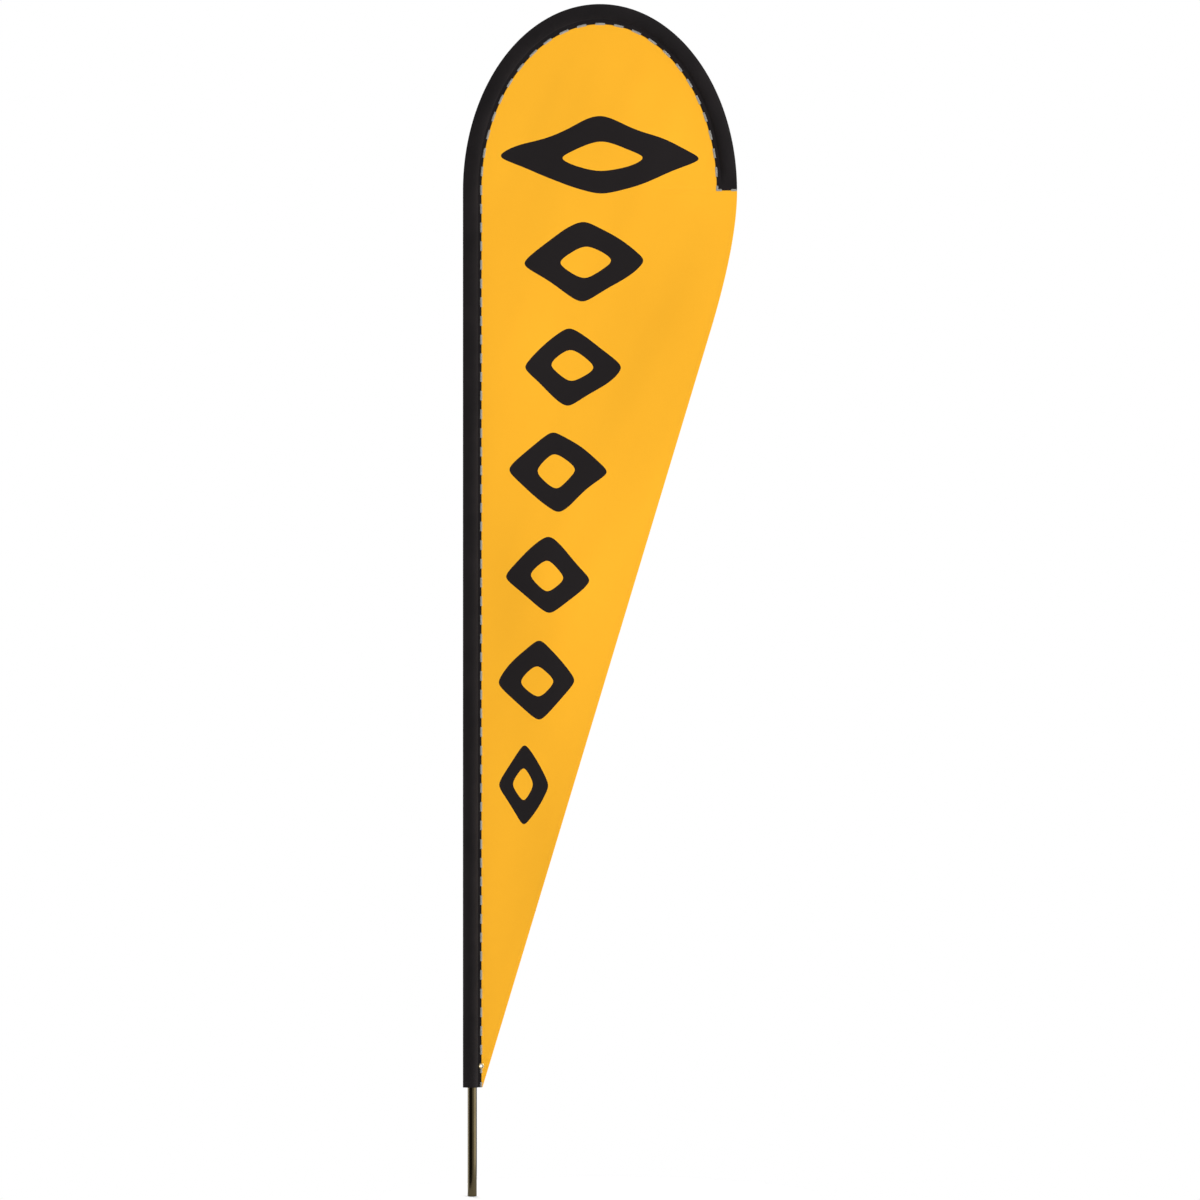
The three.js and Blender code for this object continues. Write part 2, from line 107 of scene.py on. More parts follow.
# %% Hang the lamps
LAMPS = {  # the place of each, its width and height, and its power
    "key_lamp": ((5.0, -7.0, 4.5), (3.5, 4.0), 275),
    "back_lamp": ((-2.0, 7.0, 4.0), (3.0, 4.0), 160),
    "right_edge_lamp": ((5.0, -0.5, 0.8), (6.0, 3.5), 150),
    "left_edge_lamp": ((-4.5, 1.6, 1.0), (1.0, 3.5), 40),
}

for name, (place, size, power) in LAMPS.items():
    lamp_data = bpy.data.lights.new(name, "AREA")
    lamp_data.shape = "RECTANGLE"
    lamp_data.size, lamp_data.size_y = size
    lamp_data.energy = power
    lamp = bpy.data.objects.new(name, lamp_data)
    lamp.location = place
    lamp.rotation_mode = "QUATERNION"
    lamp.rotation_quaternion = (centre - Vector(place)).to_track_quat("-Z", "Y")
    bpy.context.scene.collection.objects.link(lamp)
print("lamps:", ", ".join(LAMPS))

# %% [markdown]
# ## Ways of making a finish
# A finish is a Principled shader with a few texture nodes in front of it. These helpers keep each
# one short: they place nodes, make and place a group that several finishes share, and lead a texture
# to the shader's colour, roughness or bump.

# %% Helpers for placing nodes
def add_node(tree, kind, **inputs):
    """A node of that kind, with some of its inputs set. Spaces in their names are underscores."""
    node = tree.nodes.new(kind)
    for name, value in inputs.items():
        node.inputs[name.replace("_", " ")].default_value = value
    return node


def math_node(tree, operation, first, second=None):
    """A Math node. Each operand is a number or another node's output."""
    node = tree.nodes.new("ShaderNodeMath")
    node.operation = operation
    for index, value in enumerate((first, second)):
        if value is None:
            continue
        if isinstance(value, (int, float)):
            node.inputs[index].default_value = value
        else:
            tree.links.new(value, node.inputs[index])
    return node.outputs[0]


# %% Helpers for shared effects
def new_group(name, inputs, outputs):
    """An empty node group with float or vector inputs and float outputs."""
    group = bpy.data.node_groups.new(name, "ShaderNodeTree")
    for label, kind in inputs.items():
        group.interface.new_socket(label, in_out="INPUT", socket_type=kind)
    for label in outputs:
        group.interface.new_socket(label, in_out="OUTPUT", socket_type="NodeSocketFloat")
    return group, group.nodes.new("NodeGroupInput"), group.nodes.new("NodeGroupOutput")


def place_group(tree, group, source, **values):
    """A shared effect placed in a material, reading that vector."""
    node = tree.nodes.new("ShaderNodeGroup")
    node.node_tree = group
    tree.links.new(source, node.inputs["Vector"])
    for name, value in values.items():
        node.inputs[name].default_value = value
    return node


# %% Helpers for finishes
def new_finish(name, colour, roughness, metallic=0.0, **others):
    """A material with a Principled shader, its tree and that shader."""
    material = bpy.data.materials.new(name)
    material.use_nodes = True
    tree = material.node_tree
    shader = tree.nodes["Principled BSDF"]
    shader.inputs["Base Color"].default_value = (*colour, 1)
    shader.inputs["Roughness"].default_value = roughness
    shader.inputs["Metallic"].default_value = metallic
    for label, value in others.items():
        shader.inputs[label.replace("_", " ")].default_value = value
    return material, tree, shader


def vary_colour(tree, shader, mask, dark, light):
    """The shader's colour goes from dark to light with the mask."""
    mix = add_node(tree, "ShaderNodeMix")
    mix.data_type = "RGBA"
    for socket, colour in zip([s for s in mix.inputs if s.type == "RGBA"], (dark, light)):
        socket.default_value = (*colour, 1)
    tree.links.new(mask, mix.inputs[0])
    result = next(s for s in mix.outputs if s.type == "RGBA")
    tree.links.new(result, shader.inputs["Base Color"])
    return mix, result


def vary_roughness(tree, shader, mask, low, high):
    """The shader's roughness goes from low to high with the mask."""
    spread = add_node(tree, "ShaderNodeMapRange", To_Min=low, To_Max=high)
    tree.links.new(mask, spread.inputs["Value"])
    tree.links.new(spread.outputs["Result"], shader.inputs["Roughness"])


def add_bump(tree, shader, height, depth, strength=1.0):
    """The shader's normal is tilted by a height that runs from 0 to depth metres."""
    bump = add_node(tree, "ShaderNodeBump", Strength=strength, Distance=depth)
    tree.links.new(height, bump.inputs["Height"])
    tree.links.new(bump.outputs["Normal"], shader.inputs["Normal"])


def object_place(tree):
    """The output that gives a point's place in the object's own metres."""
    return tree.nodes.new("ShaderNodeTexCoord").outputs["Object"]


def cloth_place(tree):
    """The output that gives a point's place on the cloth, in metres across and along it."""
    return tree.nodes.new("ShaderNodeTexCoord").outputs["UV"]


# %% [markdown]
# ## The sky
# The sky is white and a little brighter than full. A tube needs something dark to reflect, or it
# looks flat, so the sky has a dim patch to the left of the camera and the same behind the flag.
# The camera sees the sky as pure white whatever its strength, which the Light Path node allows.

# %% Make the sky
SKY_BRIGHT = 1.07
SKY_DIM = 0.05
DIM_TURN = math.radians(33)
PATCH_EDGE, PATCH_CORE = 0.45, 0.97  # cosines of the angle from the patch's middle

world = bpy.data.worlds.new("white_sky")
world.use_nodes = True
bpy.context.scene.world = world
sky_tree = world.node_tree
sky_light = sky_tree.nodes["Background"]
sky_light.inputs["Color"].default_value = (1, 1, 1, 1)
sky_way = sky_tree.nodes.new("ShaderNodeTexCoord")
sky_facing = sky_tree.nodes.new("ShaderNodeVectorMath")
sky_facing.operation = "DOT_PRODUCT"
sky_facing.inputs[1].default_value = (-math.sin(DIM_TURN), -math.cos(DIM_TURN), 0)
sky_tree.links.new(sky_way.outputs["Generated"], sky_facing.inputs[0])
sky_patch = add_node(
    sky_tree, "ShaderNodeMapRange",
    From_Min=PATCH_EDGE, From_Max=PATCH_CORE, To_Min=SKY_BRIGHT, To_Max=SKY_DIM,
)
sky_patch.interpolation_type = "SMOOTHSTEP"
either_way = math_node(sky_tree, "ABSOLUTE", sky_facing.outputs["Value"])
sky_tree.links.new(either_way, sky_patch.inputs["Value"])
sky_tree.links.new(sky_patch.outputs["Result"], sky_light.inputs["Strength"])
sky_seen = add_node(sky_tree, "ShaderNodeBackground", Color=(1, 1, 1, 1))
sky_path = sky_tree.nodes.new("ShaderNodeLightPath")
sky_mix = sky_tree.nodes.new("ShaderNodeMixShader")
sky_tree.links.new(sky_path.outputs["Is Camera Ray"], sky_mix.inputs["Fac"])
sky_tree.links.new(sky_light.outputs[0], sky_mix.inputs[1])
sky_tree.links.new(sky_seen.outputs[0], sky_mix.inputs[2])
sky_tree.links.new(sky_mix.outputs[0], sky_tree.nodes["World Output"].inputs["Surface"])
print("the sky's dim patch is turned", round(math.degrees(DIM_TURN)), "degrees from the camera")

# %% [markdown]
# ## Shared effects
# Knitted cloth is rows of loops: two crossed sine waves give their heights, and fine noise makes
# the thread uneven. The loops also give a painted shade, darker in their hollows. Drawn metal has
# fine lines along it: noise stretched far along Z, with a few deeper scratches. Fading, soil and
# handling marks are one slow cloudy noise.

# %% Build the knit
RIB_SHARE = 0.45  # how strong the ribs are against the loops
LOOP_HEIGHT = 0.3  # how high the loops are against the thread's unevenness
FUZZ_SCALE = 900.0


def make_knit_group():
    """Gives a height for the bump, and a painted shade that follows the loops, darker in their
    hollows.
    """
    group, entry, exit_ = new_group(
        "knit", {"Vector": "NodeSocketVector", "Pitch": "NodeSocketFloat"}, ("Height", "Shade")
    )
    split = group.nodes.new("ShaderNodeSeparateXYZ")
    group.links.new(entry.outputs["Vector"], split.inputs[0])
    turn = math_node(group, "DIVIDE", 2 * math.pi, entry.outputs["Pitch"])
    waves = []
    for axis in ("X", "Y"):
        phase = math_node(group, "MULTIPLY", split.outputs[axis], turn)
        waves.append(math_node(group, "SINE", phase))
    loops = math_node(group, "MULTIPLY", waves[0], waves[1])
    ribs = math_node(group, "MULTIPLY", waves[0], RIB_SHARE)
    raised = math_node(group, "ADD", loops, ribs)
    uneven = add_node(group, "ShaderNodeTexNoise", Scale=FUZZ_SCALE, Detail=2.0)
    group.links.new(entry.outputs["Vector"], uneven.inputs["Vector"])
    height = math_node(group, "MULTIPLY_ADD", raised, LOOP_HEIGHT)
    group.links.new(uneven.outputs["Fac"], height.node.inputs[2])
    group.links.new(height, exit_.inputs["Height"])
    # The loops run from -1 to 1, and the painted shade from 0 to 1, darkest in the hollows.
    shade = math_node(group, "MULTIPLY_ADD", loops, 0.5)
    shade.node.inputs[2].default_value = 0.5
    group.links.new(shade, exit_.inputs["Shade"])
    return group


KNIT = make_knit_group()
print("the knit has", len(KNIT.nodes), "nodes")

# %% Build the drawn lines
DRAWN_LAYERS = (  # its name, how much it is squeezed along Z, and its noise's scale and detail
    ("Line", 0.012, 1400.0, 4.0),
    ("Scuff", 0.3, 60.0, 6.0),
)


def make_drawn_group():
    """Gives fine lines along Z, and longer scuffs."""
    group, entry, exit_ = new_group(
        "drawn_metal", {"Vector": "NodeSocketVector"}, ("Line", "Scuff")
    )
    for label, squeeze, scale, detail in DRAWN_LAYERS:
        mapping = group.nodes.new("ShaderNodeMapping")
        mapping.inputs["Scale"].default_value = (1, 1, squeeze)
        group.links.new(entry.outputs["Vector"], mapping.inputs["Vector"])
        grain = add_node(group, "ShaderNodeTexNoise", Scale=scale, Detail=detail, Roughness=0.6)
        group.links.new(mapping.outputs[0], grain.inputs["Vector"])
        group.links.new(grain.outputs["Fac"], exit_.inputs[label])
    return group


DRAWN = make_drawn_group()
print("drawn metal has", len(DRAWN_LAYERS), "layers")

# %% Build the clouding
CLOUD_SPREAD = (0.3, 0.7)  # the part of the noise's range that is used


def make_cloud_group():
    """A slow cloudy change from 0 to 1."""
    group, entry, exit_ = new_group(
        "clouding", {"Vector": "NodeSocketVector", "Scale": "NodeSocketFloat"}, ("Cloud",)
    )
    cloud = add_node(group, "ShaderNodeTexNoise", Detail=3.0, Roughness=0.5)
    group.links.new(entry.outputs["Vector"], cloud.inputs["Vector"])
    group.links.new(entry.outputs["Scale"], cloud.inputs["Scale"])
    low, high = CLOUD_SPREAD
    spread = add_node(group, "ShaderNodeMapRange", From_Min=low, From_Max=high)
    group.links.new(cloud.outputs["Fac"], spread.inputs["Value"])
    group.links.new(spread.outputs["Result"], exit_.inputs["Cloud"])
    return group


CLOUD = make_cloud_group()
print("shared effects:", ", ".join(group.name for group in bpy.data.node_groups))

# %% [markdown]
# ## Plain finishes
# Metal shows its grain as changes of roughness and a bump far too small to see as shape. Plastic is
# nearly even. All the numbers are for a used, clean object.

# %% Recipes for metal, plastic and thread
FINE_TO_COARSE = 25  # how many times finer the bump's mottle is than the colour's


def metal_finish(name, dark, light, low, high, depth=0.00002):
    """Drawn metal: its two colours, its lowest and highest roughness, and its lines' depth."""
    material, tree, shader = new_finish(name, light, high, metallic=1.0)
    drawn = place_group(tree, DRAWN, object_place(tree))
    vary_colour(tree, shader, drawn.outputs["Scuff"], dark, light)
    vary_roughness(tree, shader, drawn.outputs["Line"], low, high)
    add_bump(tree, shader, drawn.outputs["Line"], depth, 0.5)
    return material


def plain_finish(name, dark, light, roughness, mottle, specular=0.5, depth=0.00003):
    """Plastic or thread: its two colours, its roughness, and the scale of its mottle."""
    material, tree, shader = new_finish(name, light, roughness, Specular_IOR_Level=specular)
    place = object_place(tree)
    cloud = place_group(tree, CLOUD, place, Scale=mottle)
    fine = place_group(tree, CLOUD, place, Scale=mottle * FINE_TO_COARSE)
    vary_colour(tree, shader, cloud.outputs["Cloud"], dark, light)
    add_bump(tree, shader, fine.outputs["Cloud"], depth, 0.4)
    return material


def bronze_finish():
    """A bronze-anodised tube: brown metal seen through a hard, clear skin that shines white."""
    material, tree, shader = new_finish(
        "bronze_tube", (0.07, 0.055, 0.025), 0.15, metallic=1.0,
        Coat_Weight=0.25, Coat_Roughness=0.12, Coat_IOR=1.5,
    )
    drawn = place_group(tree, DRAWN, object_place(tree))
    scuff = drawn.outputs["Scuff"]
    vary_colour(tree, shader, scuff, (0.056, 0.042, 0.017), (0.086, 0.068, 0.033))
    vary_roughness(tree, shader, drawn.outputs["Line"], 0.06, 0.2)
    add_bump(tree, shader, drawn.outputs["Line"], 0.00001, 0.4)
    return material


# %% Mix the finishes
BRONZE = bronze_finish()
ALUMINIUM = metal_finish("mill_aluminium", (0.55, 0.55, 0.56), (0.72, 0.72, 0.73), 0.28, 0.45)
STEEL = metal_finish("zinc_steel", (0.42, 0.43, 0.46), (0.62, 0.63, 0.66), 0.2, 0.38)
BRASS = metal_finish("pale_brass", (0.60, 0.47, 0.22), (0.86, 0.74, 0.44), 0.12, 0.3, 0.00001)
NYLON = plain_finish("natural_nylon", (0.70, 0.67, 0.60), (0.80, 0.78, 0.73), 0.45, 40)
GLASS_FIBRE = plain_finish(
    "charcoal_glass_fibre", (0.028, 0.030, 0.034), (0.05, 0.052, 0.057), 0.38, 30
)
VINYL = plain_finish("dipped_vinyl", (0.012, 0.012, 0.013), (0.022, 0.022, 0.024), 0.55, 60)
GREY_THREAD = plain_finish(
    "grey_thread", (0.36, 0.355, 0.32), (0.47, 0.465, 0.425), 0.6, 300, 0.3
)
BLACK_THREAD = plain_finish(
    "black_thread", (0.022, 0.020, 0.020), (0.04, 0.037, 0.037), 0.6, 300, 0.3
)
YELLOW_THREAD = plain_finish(
    "yellow_thread", (0.86, 0.40, 0.02), (0.95, 0.46, 0.03), 0.7, 300, 0.2
)
print("finishes:", ", ".join(material.name for material in bpy.data.materials))

# %% [markdown]
# ## The pole's line
# Everything long on this flag follows the pole: straight up, then over half an ellipse. A point is
# given by its distance along that line, how far it lies across towards the panel, and its place
# through the cloth. The line's sizes are read from the boxes of the three lengths of sleeve.

# %% Read the sleeve's sizes
straight_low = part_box("sleeve_straight")[0]
mast_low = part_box("sleeve_arch_mast_side")[0]
fly_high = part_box("sleeve_arch_fly_side")[1]

HALF_SLEEVE = -straight_low.x
MOUTH = straight_low.z
ARCH_BASE = mast_low.z
ARCH_HALF_WIDTH = (fly_high.x - HALF_SLEEVE) / 2
ARCH_RISE = fly_high.z - HALF_SLEEVE - ARCH_BASE
print("the arch is", round(2 * ARCH_HALF_WIDTH, 3), "m across and", round(ARCH_RISE, 3), "m high")

# %% Follow the pole's line
ARCH_PARTS = 1200  # short straight parts that the arch is measured in


def arch_point(turn):
    """The place in X and Z at that angle round the arch, from 0 on the pole's side to pi."""
    return (
        ARCH_HALF_WIDTH * (1 - math.cos(turn)),
        ARCH_BASE + ARCH_RISE * math.sin(turn),
    )


arch_lengths = [0.0]
for part in range(ARCH_PARTS):
    step = [math.pi * (part + more) / ARCH_PARTS for more in (0, 1)]
    arch_lengths.append(arch_lengths[-1] + math.dist(*(arch_point(turn) for turn in step)))
ARCH_LENGTH = arch_lengths[-1]
SLEEVE_END = ARCH_BASE + ARCH_LENGTH


def arch_turn(length):
    """The angle round the arch at that length along it."""
    low, high = 0, ARCH_PARTS
    while high - low > 1:
        middle = (low + high) // 2
        if arch_lengths[middle] <= length:
            low = middle
        else:
            high = middle
    share = (length - arch_lengths[low]) / (arch_lengths[high] - arch_lengths[low])
    return math.pi * (low + share) / ARCH_PARTS


def pole_point(along, across, through):
    """The point at that distance along the pole's line, across towards the panel, and through."""
    if along <= ARCH_BASE:
        return Vector((across, through, along))
    if along >= SLEEVE_END:
        return Vector((2 * ARCH_HALF_WIDTH - across, through, ARCH_BASE + SLEEVE_END - along))
    turn = arch_turn(along - ARCH_BASE)
    x, z = arch_point(turn)
    slope = Vector((ARCH_HALF_WIDTH * math.sin(turn), ARCH_RISE * math.cos(turn))).normalized()
    return Vector((x + slope.y * across, through, z - slope.x * across))


print("the sleeve is", round(SLEEVE_END - MOUTH, 3), "m long, and the arch", round(ARCH_LENGTH, 3))

# %% [markdown]
# The line of stitching runs a little inside the pole's line, so it is shorter round the arch. The
# sleeve is also cut a little wider there. Both have to be known to space the stitches evenly.

# %% Follow the line of stitching
STITCH_ACROSS = 0.0246  # from the pole's line to the middle of the stitches
ARCH_WIDENING = 0.0045  # how much wider the sleeve is cut round the arch
WIDENING_RUN = 0.6  # the length along the arch in which it widens
HALVINGS = 30


def smooth_step(value):
    """From 0 to 1 with level ends, for a value from 0 to 1, and constant outside."""
    value = min(max(value, 0.0), 1.0)
    return value * value * (3 - 2 * value)


def widening(along):
    """How much further in the sleeve's edge lies there than on the straight."""
    return ARCH_WIDENING * smooth_step((along - ARCH_BASE) / WIDENING_RUN)


def seam_distance(along):
    """The distance along the line of stitching, which is shorter than the pole's round the arch."""
    if along <= ARCH_BASE:
        return along
    turn = arch_turn(min(along, SLEEVE_END) - ARCH_BASE)
    leaning = math.atan2(ARCH_HALF_WIDTH * math.sin(turn), ARCH_RISE * math.cos(turn))
    return along - (STITCH_ACROSS + widening(along)) * leaning


def along_at_seam(distance):
    """The distance along the pole's line of a place on the line of stitching."""
    low, high = distance, distance + (STITCH_ACROSS + ARCH_WIDENING) * math.pi
    for _ in range(HALVINGS):
        middle = (low + high) / 2
        if seam_distance(middle) < distance:
            low = middle
        else:
            high = middle
    return (low + high) / 2


def steps_between(first, last, spacing):
    """Evenly spaced numbers from first to last, no further apart than spacing."""
    count = max(1, math.ceil(abs(last - first) / spacing))
    return [first + (last - first) * i / count for i in range(count + 1)]


print("the line of stitching is", round(seam_distance(SLEEVE_END) - MOUTH, 3), "m long")

# %% [markdown]
# ## Making objects
# Each piece ends as a mesh whose points are already in place, on an object at the origin. It rides
# on a body of the frame, is painted with its finish, and hides the plain solid it stands for.

# %% Helpers for pieces
SMOOTH_BELOW = 35  # degrees between two faces, up to which they are shaded as one


def link_mesh(name, bm):
    """A new object at the origin, with that bmesh as its mesh."""
    mesh = bpy.data.meshes.new(name)
    bm.to_mesh(mesh)
    bm.free()
    made = bpy.data.objects.new(name, mesh)
    bpy.context.scene.collection.objects.link(made)
    return made


def join_frame(piece, body, replaced):
    """Smooth shading, and all that the frame has to know of a piece."""
    for face in piece.data.polygons:
        face.use_smooth = True
    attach(piece, body)
    if replaced:
        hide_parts(*replaced)
    return piece


def add_piece(name, bm, finish, body, replaced=()):
    """A piece from a bmesh, painted, on its body, and standing for those plain solids."""
    piece = link_mesh(name, bm)
    piece.data.materials.append(finish)
    return join_frame(piece, body, replaced)


def keep_edges_crisp(piece, angle=SMOOTH_BELOW):
    """Smooth shading everywhere but across edges sharper than that angle."""
    piece.data.set_sharp_from_angle(angle=math.radians(angle))


def thicken(piece, thickness):
    """Gives a surface its thickness, half to each side, with a crisp rim.

    A rim that is shaded smooth would tilt the light on the whole outer row of cloth.
    """
    bm = bmesh.new()
    bm.from_mesh(piece.data)
    for edge in bm.edges:
        edge.smooth = not edge.is_boundary
    bm.to_mesh(piece.data)
    bm.free()
    solidify = piece.modifiers.new("thickness", "SOLIDIFY")
    solidify.thickness = thickness
    solidify.offset = 0
    solidify.use_even_offset = True


def settle(piece):
    """Makes the result of a piece's modifiers its mesh."""
    shaped = piece.evaluated_get(bpy.context.evaluated_depsgraph_get())
    plain, piece.data = piece.data, bpy.data.meshes.new_from_object(shaped)
    piece.modifiers.clear()
    bpy.data.meshes.remove(plain)
    piece.data.name = piece.name


print("pieces are shaded smooth up to", SMOOTH_BELOW, "degrees")

# %% [markdown]
# ## Turned and drawn pieces
# Tubes, rods, ferrules, rings and the grommet are all round. A profile is drawn as radius and
# distance along, spun once round, and its corners are bevelled. A piece in the arch is then bent
# onto the pole's line, so its profile has a point every few millimetres there.

# %% Helper for spinning a profile
SHARP_FROM = math.radians(30)


def spun(profile, steps, corner, closed):
    """A bmesh of a profile of (radius, height) spun about Z, with its sharp rings bevelled."""
    bm = bmesh.new()
    corners = [bm.verts.new((radius, 0, height)) for radius, height in profile]
    pairs = list(zip(corners, corners[1:]))
    if closed:
        pairs.append((corners[-1], corners[0]))
    edges = [bm.edges.new(pair) for pair in pairs]
    bmesh.ops.spin(
        bm, geom=corners + edges, cent=(0, 0, 0), axis=(0, 0, 1), angle=2 * math.pi,
        steps=steps, use_merge=True, use_duplicate=False,
    )
    bmesh.ops.remove_doubles(bm, verts=bm.verts[:], dist=1e-6)
    bmesh.ops.recalc_face_normals(bm, faces=bm.faces[:])
    if corner:
        sharp = [
            edge for edge in bm.edges
            if len(edge.link_faces) == 2 and edge.calc_face_angle() > SHARP_FROM
        ]
        bmesh.ops.bevel(
            bm, geom=sharp, offset=corner, offset_type="OFFSET", affect="EDGES",
            segments=2, profile=0.5, material=-1, clamp_overlap=True,
        )
    return bm


# %% Helpers for round pieces on the pole's line
ROUND_STEPS = 72
BEND_SPACING = 0.012  # between the rings of a bent tube
GUARD = 0.0015  # from a corner to the ring that keeps the wall's shading level
BAND = 0.007  # from a drilled hole's middle to the rings each side of it


def ring(inner, outer, bottom, top, holes=()):
    """The closed profile of a ring or tube, with a short band of wall round each hole's height."""
    heights = [bottom, *(height + edge for height in holes for edge in (-BAND, BAND)), top]
    return [(outer, height) for height in heights] + [(inner, height) for height in heights[::-1]]


def split_profile(profile, closed):
    """The profile with a point near both ends of each long edge, and more where it bends.

    The near points keep the shading of a straight wall level, right up to its rounded corners.
    """
    points = []
    ends = profile[1:] + (profile[:1] if closed else [])
    for (r0, s0), (r1, s1) in zip(profile, ends):
        length = abs(s1 - s0)
        shares = [0.0]
        if length > 6 * GUARD:
            count = math.ceil(length / BEND_SPACING) if max(s0, s1) > ARCH_BASE else 1
            between = [i / count for i in range(1, count)]
            shares += [GUARD / length, *between, 1 - GUARD / length]
        points += [(r0 + (r1 - r0) * share, s0 + (s1 - s0) * share) for share in shares]
    return points if closed else points + profile[-1:]


def pole_piece(name, profile, finish, body, replaced, corner=0.0004, closed=True):
    """A round piece on the pole's line."""
    bm = spun(split_profile(profile, closed), ROUND_STEPS, corner, closed)
    for vert in bm.verts:
        vert.co = pole_point(vert.co.z, vert.co.x, vert.co.y)
    piece = add_piece(name, bm, finish, body, (replaced,))
    keep_edges_crisp(piece)
    return piece


def half_width(node):
    """Half of a plain solid's width through the flag, which is a round piece's radius."""
    low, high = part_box(node)
    return (high.y - low.y) / 2


print("round pieces have", ROUND_STEPS, "steps round")

# %% [markdown]
# ## The foot tube and what turns in it
# The lowest tube is drawn metal with a plain cut end, and the pole above turns in a nylon bush in
# its top. The outer sizes come from the frame, and the walls are the usual ones for such tube.

# %% Make the foot tube
FOOT_WALL = 0.0015

foot_low, foot_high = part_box("foot_tube")
foot_radius = half_width("foot_tube")
pole_piece(
    "foot_tube_drawn", ring(foot_radius - FOOT_WALL, foot_radius, foot_low.z, foot_high.z),
    BRONZE, "foot", "foot_tube",
)
print("the foot tube is", round(2 * foot_radius, 4), "m across, its wall", FOOT_WALL)

# %% Make the bush and the washer
BUSH_BORE, BUSH_BARREL = 0.00985, 0.0108
FLANGE_CLEARANCE = 0.0003  # between the tube's end and the bush's flange
WASHER_BORE = 0.0099

bush_low, bush_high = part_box("swivel_bush")
flange_bottom = foot_high.z + FLANGE_CLEARANCE
pole_piece(
    "swivel_bush_moulded",
    [
        (BUSH_BORE, bush_low.z), (BUSH_BARREL, bush_low.z), (BUSH_BARREL, flange_bottom),
        (half_width("swivel_bush"), flange_bottom), (half_width("swivel_bush"), bush_high.z),
        (BUSH_BORE, bush_high.z),
    ],
    NYLON, "foot", "swivel_bush",
)

washer_low, washer_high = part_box("thrust_washer")
pole_piece(
    "thrust_washer_turned",
    ring(WASHER_BORE, half_width("thrust_washer"), washer_low.z, washer_high.z),
    NYLON, "washer", "thrust_washer",
)
print("the washer is", round(washer_high.z - washer_low.z, 4), "m thick")

# %% [markdown]
# ## The middle and top of the pole
# These pieces lie inside the sleeve. The collar carries the pole on the washer, the spigot plugs the
# rod's ferrule into the middle tube, and the two glass fibre rods taper to a capped tip.

# %% Size the upper pole
FIT = 0.0003  # the gap left between two pieces that meet
COLLAR_BORE = 0.00985
MIDDLE_BORE = 0.008
SPIGOT_BORE, SPIGOT_OUTER, SPIGOT_WEB = 0.0062, 0.0076, 0.005
SOCKET_BORE, SOCKET_DEPTH = 0.0064, 0.022
SHOULDER_HEIGHT = 0.015
ROD_BOTTOM, ROD_TOP = 0.006, 0.005
WHIP_OUTER, WHIP_BORE, WHIP_HALF = 0.0068, 0.0055, 0.040
TIP_BOTTOM, TIP_TOP = 0.005, 0.003
CAP_OUTER, CAP_BORE, CAP_OVERLAP, CAP_END = 0.0046, 0.0035, 0.025, 0.010
ROD_END, TIP_END = 3.080, 3.970  # distances along the pole's line

collar_low, collar_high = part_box("swivel_collar")
middle_low, middle_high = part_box("middle_tube")
ferrule_low, ferrule_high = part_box("upper_ferrule")
pin_low, pin_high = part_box("collar_pin")
pin_height = (pin_low.z + pin_high.z) / 2
button_low, button_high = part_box("lock_button")
button_height = (button_low.z + button_high.z) / 2
middle_radius = half_width("middle_tube")
shoulder_bottom = middle_high.z + FIT
socket_floor = middle_high.z - SOCKET_DEPTH
print("the spigot plugs in", round(shoulder_bottom - ferrule_low.z, 4), "m")

# %% Turn the upper pole
ON_FLAG = (
    ("swivel_collar", ALUMINIUM, "aluminium", True,
     ring(COLLAR_BORE, half_width("swivel_collar"), collar_low.z, collar_high.z)),
    ("middle_tube", ALUMINIUM, "aluminium", True,
     ring(MIDDLE_BORE, middle_radius, middle_low.z, middle_high.z, (pin_height, button_height))),
    ("upper_ferrule", ALUMINIUM, "aluminium", False,
     [(0, socket_floor - SPIGOT_WEB), (SPIGOT_BORE, socket_floor - SPIGOT_WEB),
      (SPIGOT_BORE, ferrule_low.z), (SPIGOT_OUTER, ferrule_low.z),
      (SPIGOT_OUTER, shoulder_bottom), (middle_radius, shoulder_bottom),
      (middle_radius, shoulder_bottom + SHOULDER_HEIGHT), (SPIGOT_OUTER, ferrule_high.z),
      (SOCKET_BORE, ferrule_high.z), (SOCKET_BORE, socket_floor), (0, socket_floor)]),
    ("upper_rod", GLASS_FIBRE, "glass_fibre", False,
     [(0, socket_floor + FIT), (ROD_BOTTOM, socket_floor + FIT), (ROD_TOP, ROD_END), (0, ROD_END)]),
    ("whip_ferrule", ALUMINIUM, "aluminium", True,
     ring(WHIP_BORE, WHIP_OUTER, ROD_END - WHIP_HALF, ROD_END + WHIP_HALF)),
    ("tip_rod", GLASS_FIBRE, "glass_fibre", False,
     [(0, ROD_END + FIT), (TIP_BOTTOM, ROD_END + FIT), (TIP_TOP, TIP_END), (0, TIP_END)]),
    ("tip_cap", VINYL, "black_vinyl", False,
     [(0, TIP_END + FIT), (CAP_BORE, TIP_END + FIT), (CAP_BORE, TIP_END - CAP_OVERLAP),
      (CAP_OUTER, TIP_END - CAP_OVERLAP), (CAP_OUTER, TIP_END + CAP_END), (0, TIP_END + CAP_END)]),
)
turned = {}
for node, finish, slot, closed, profile in ON_FLAG:
    turned[node] = pole_piece(node + "_turned", profile, finish, "flag", node, closed=closed)
print("turned for the upper pole:", ", ".join(turned))

# %% [markdown]
# ## Holes, pin and button
# A cross pin holds the collar on the middle tube, and a snap button locks the spigot in the tube's
# top, so all three need round holes. A Boolean modifier takes a cylinder away from each of them. Its
# result then becomes the piece's mesh, so that no cutter is left in the scene.

# %% Drill the holes
PIN_RADIUS = (pin_high.x - pin_low.x) / 2
BUTTON_RADIUS = 0.0032
DRILL_REACH = 0.016
SLIVER = 2e-6


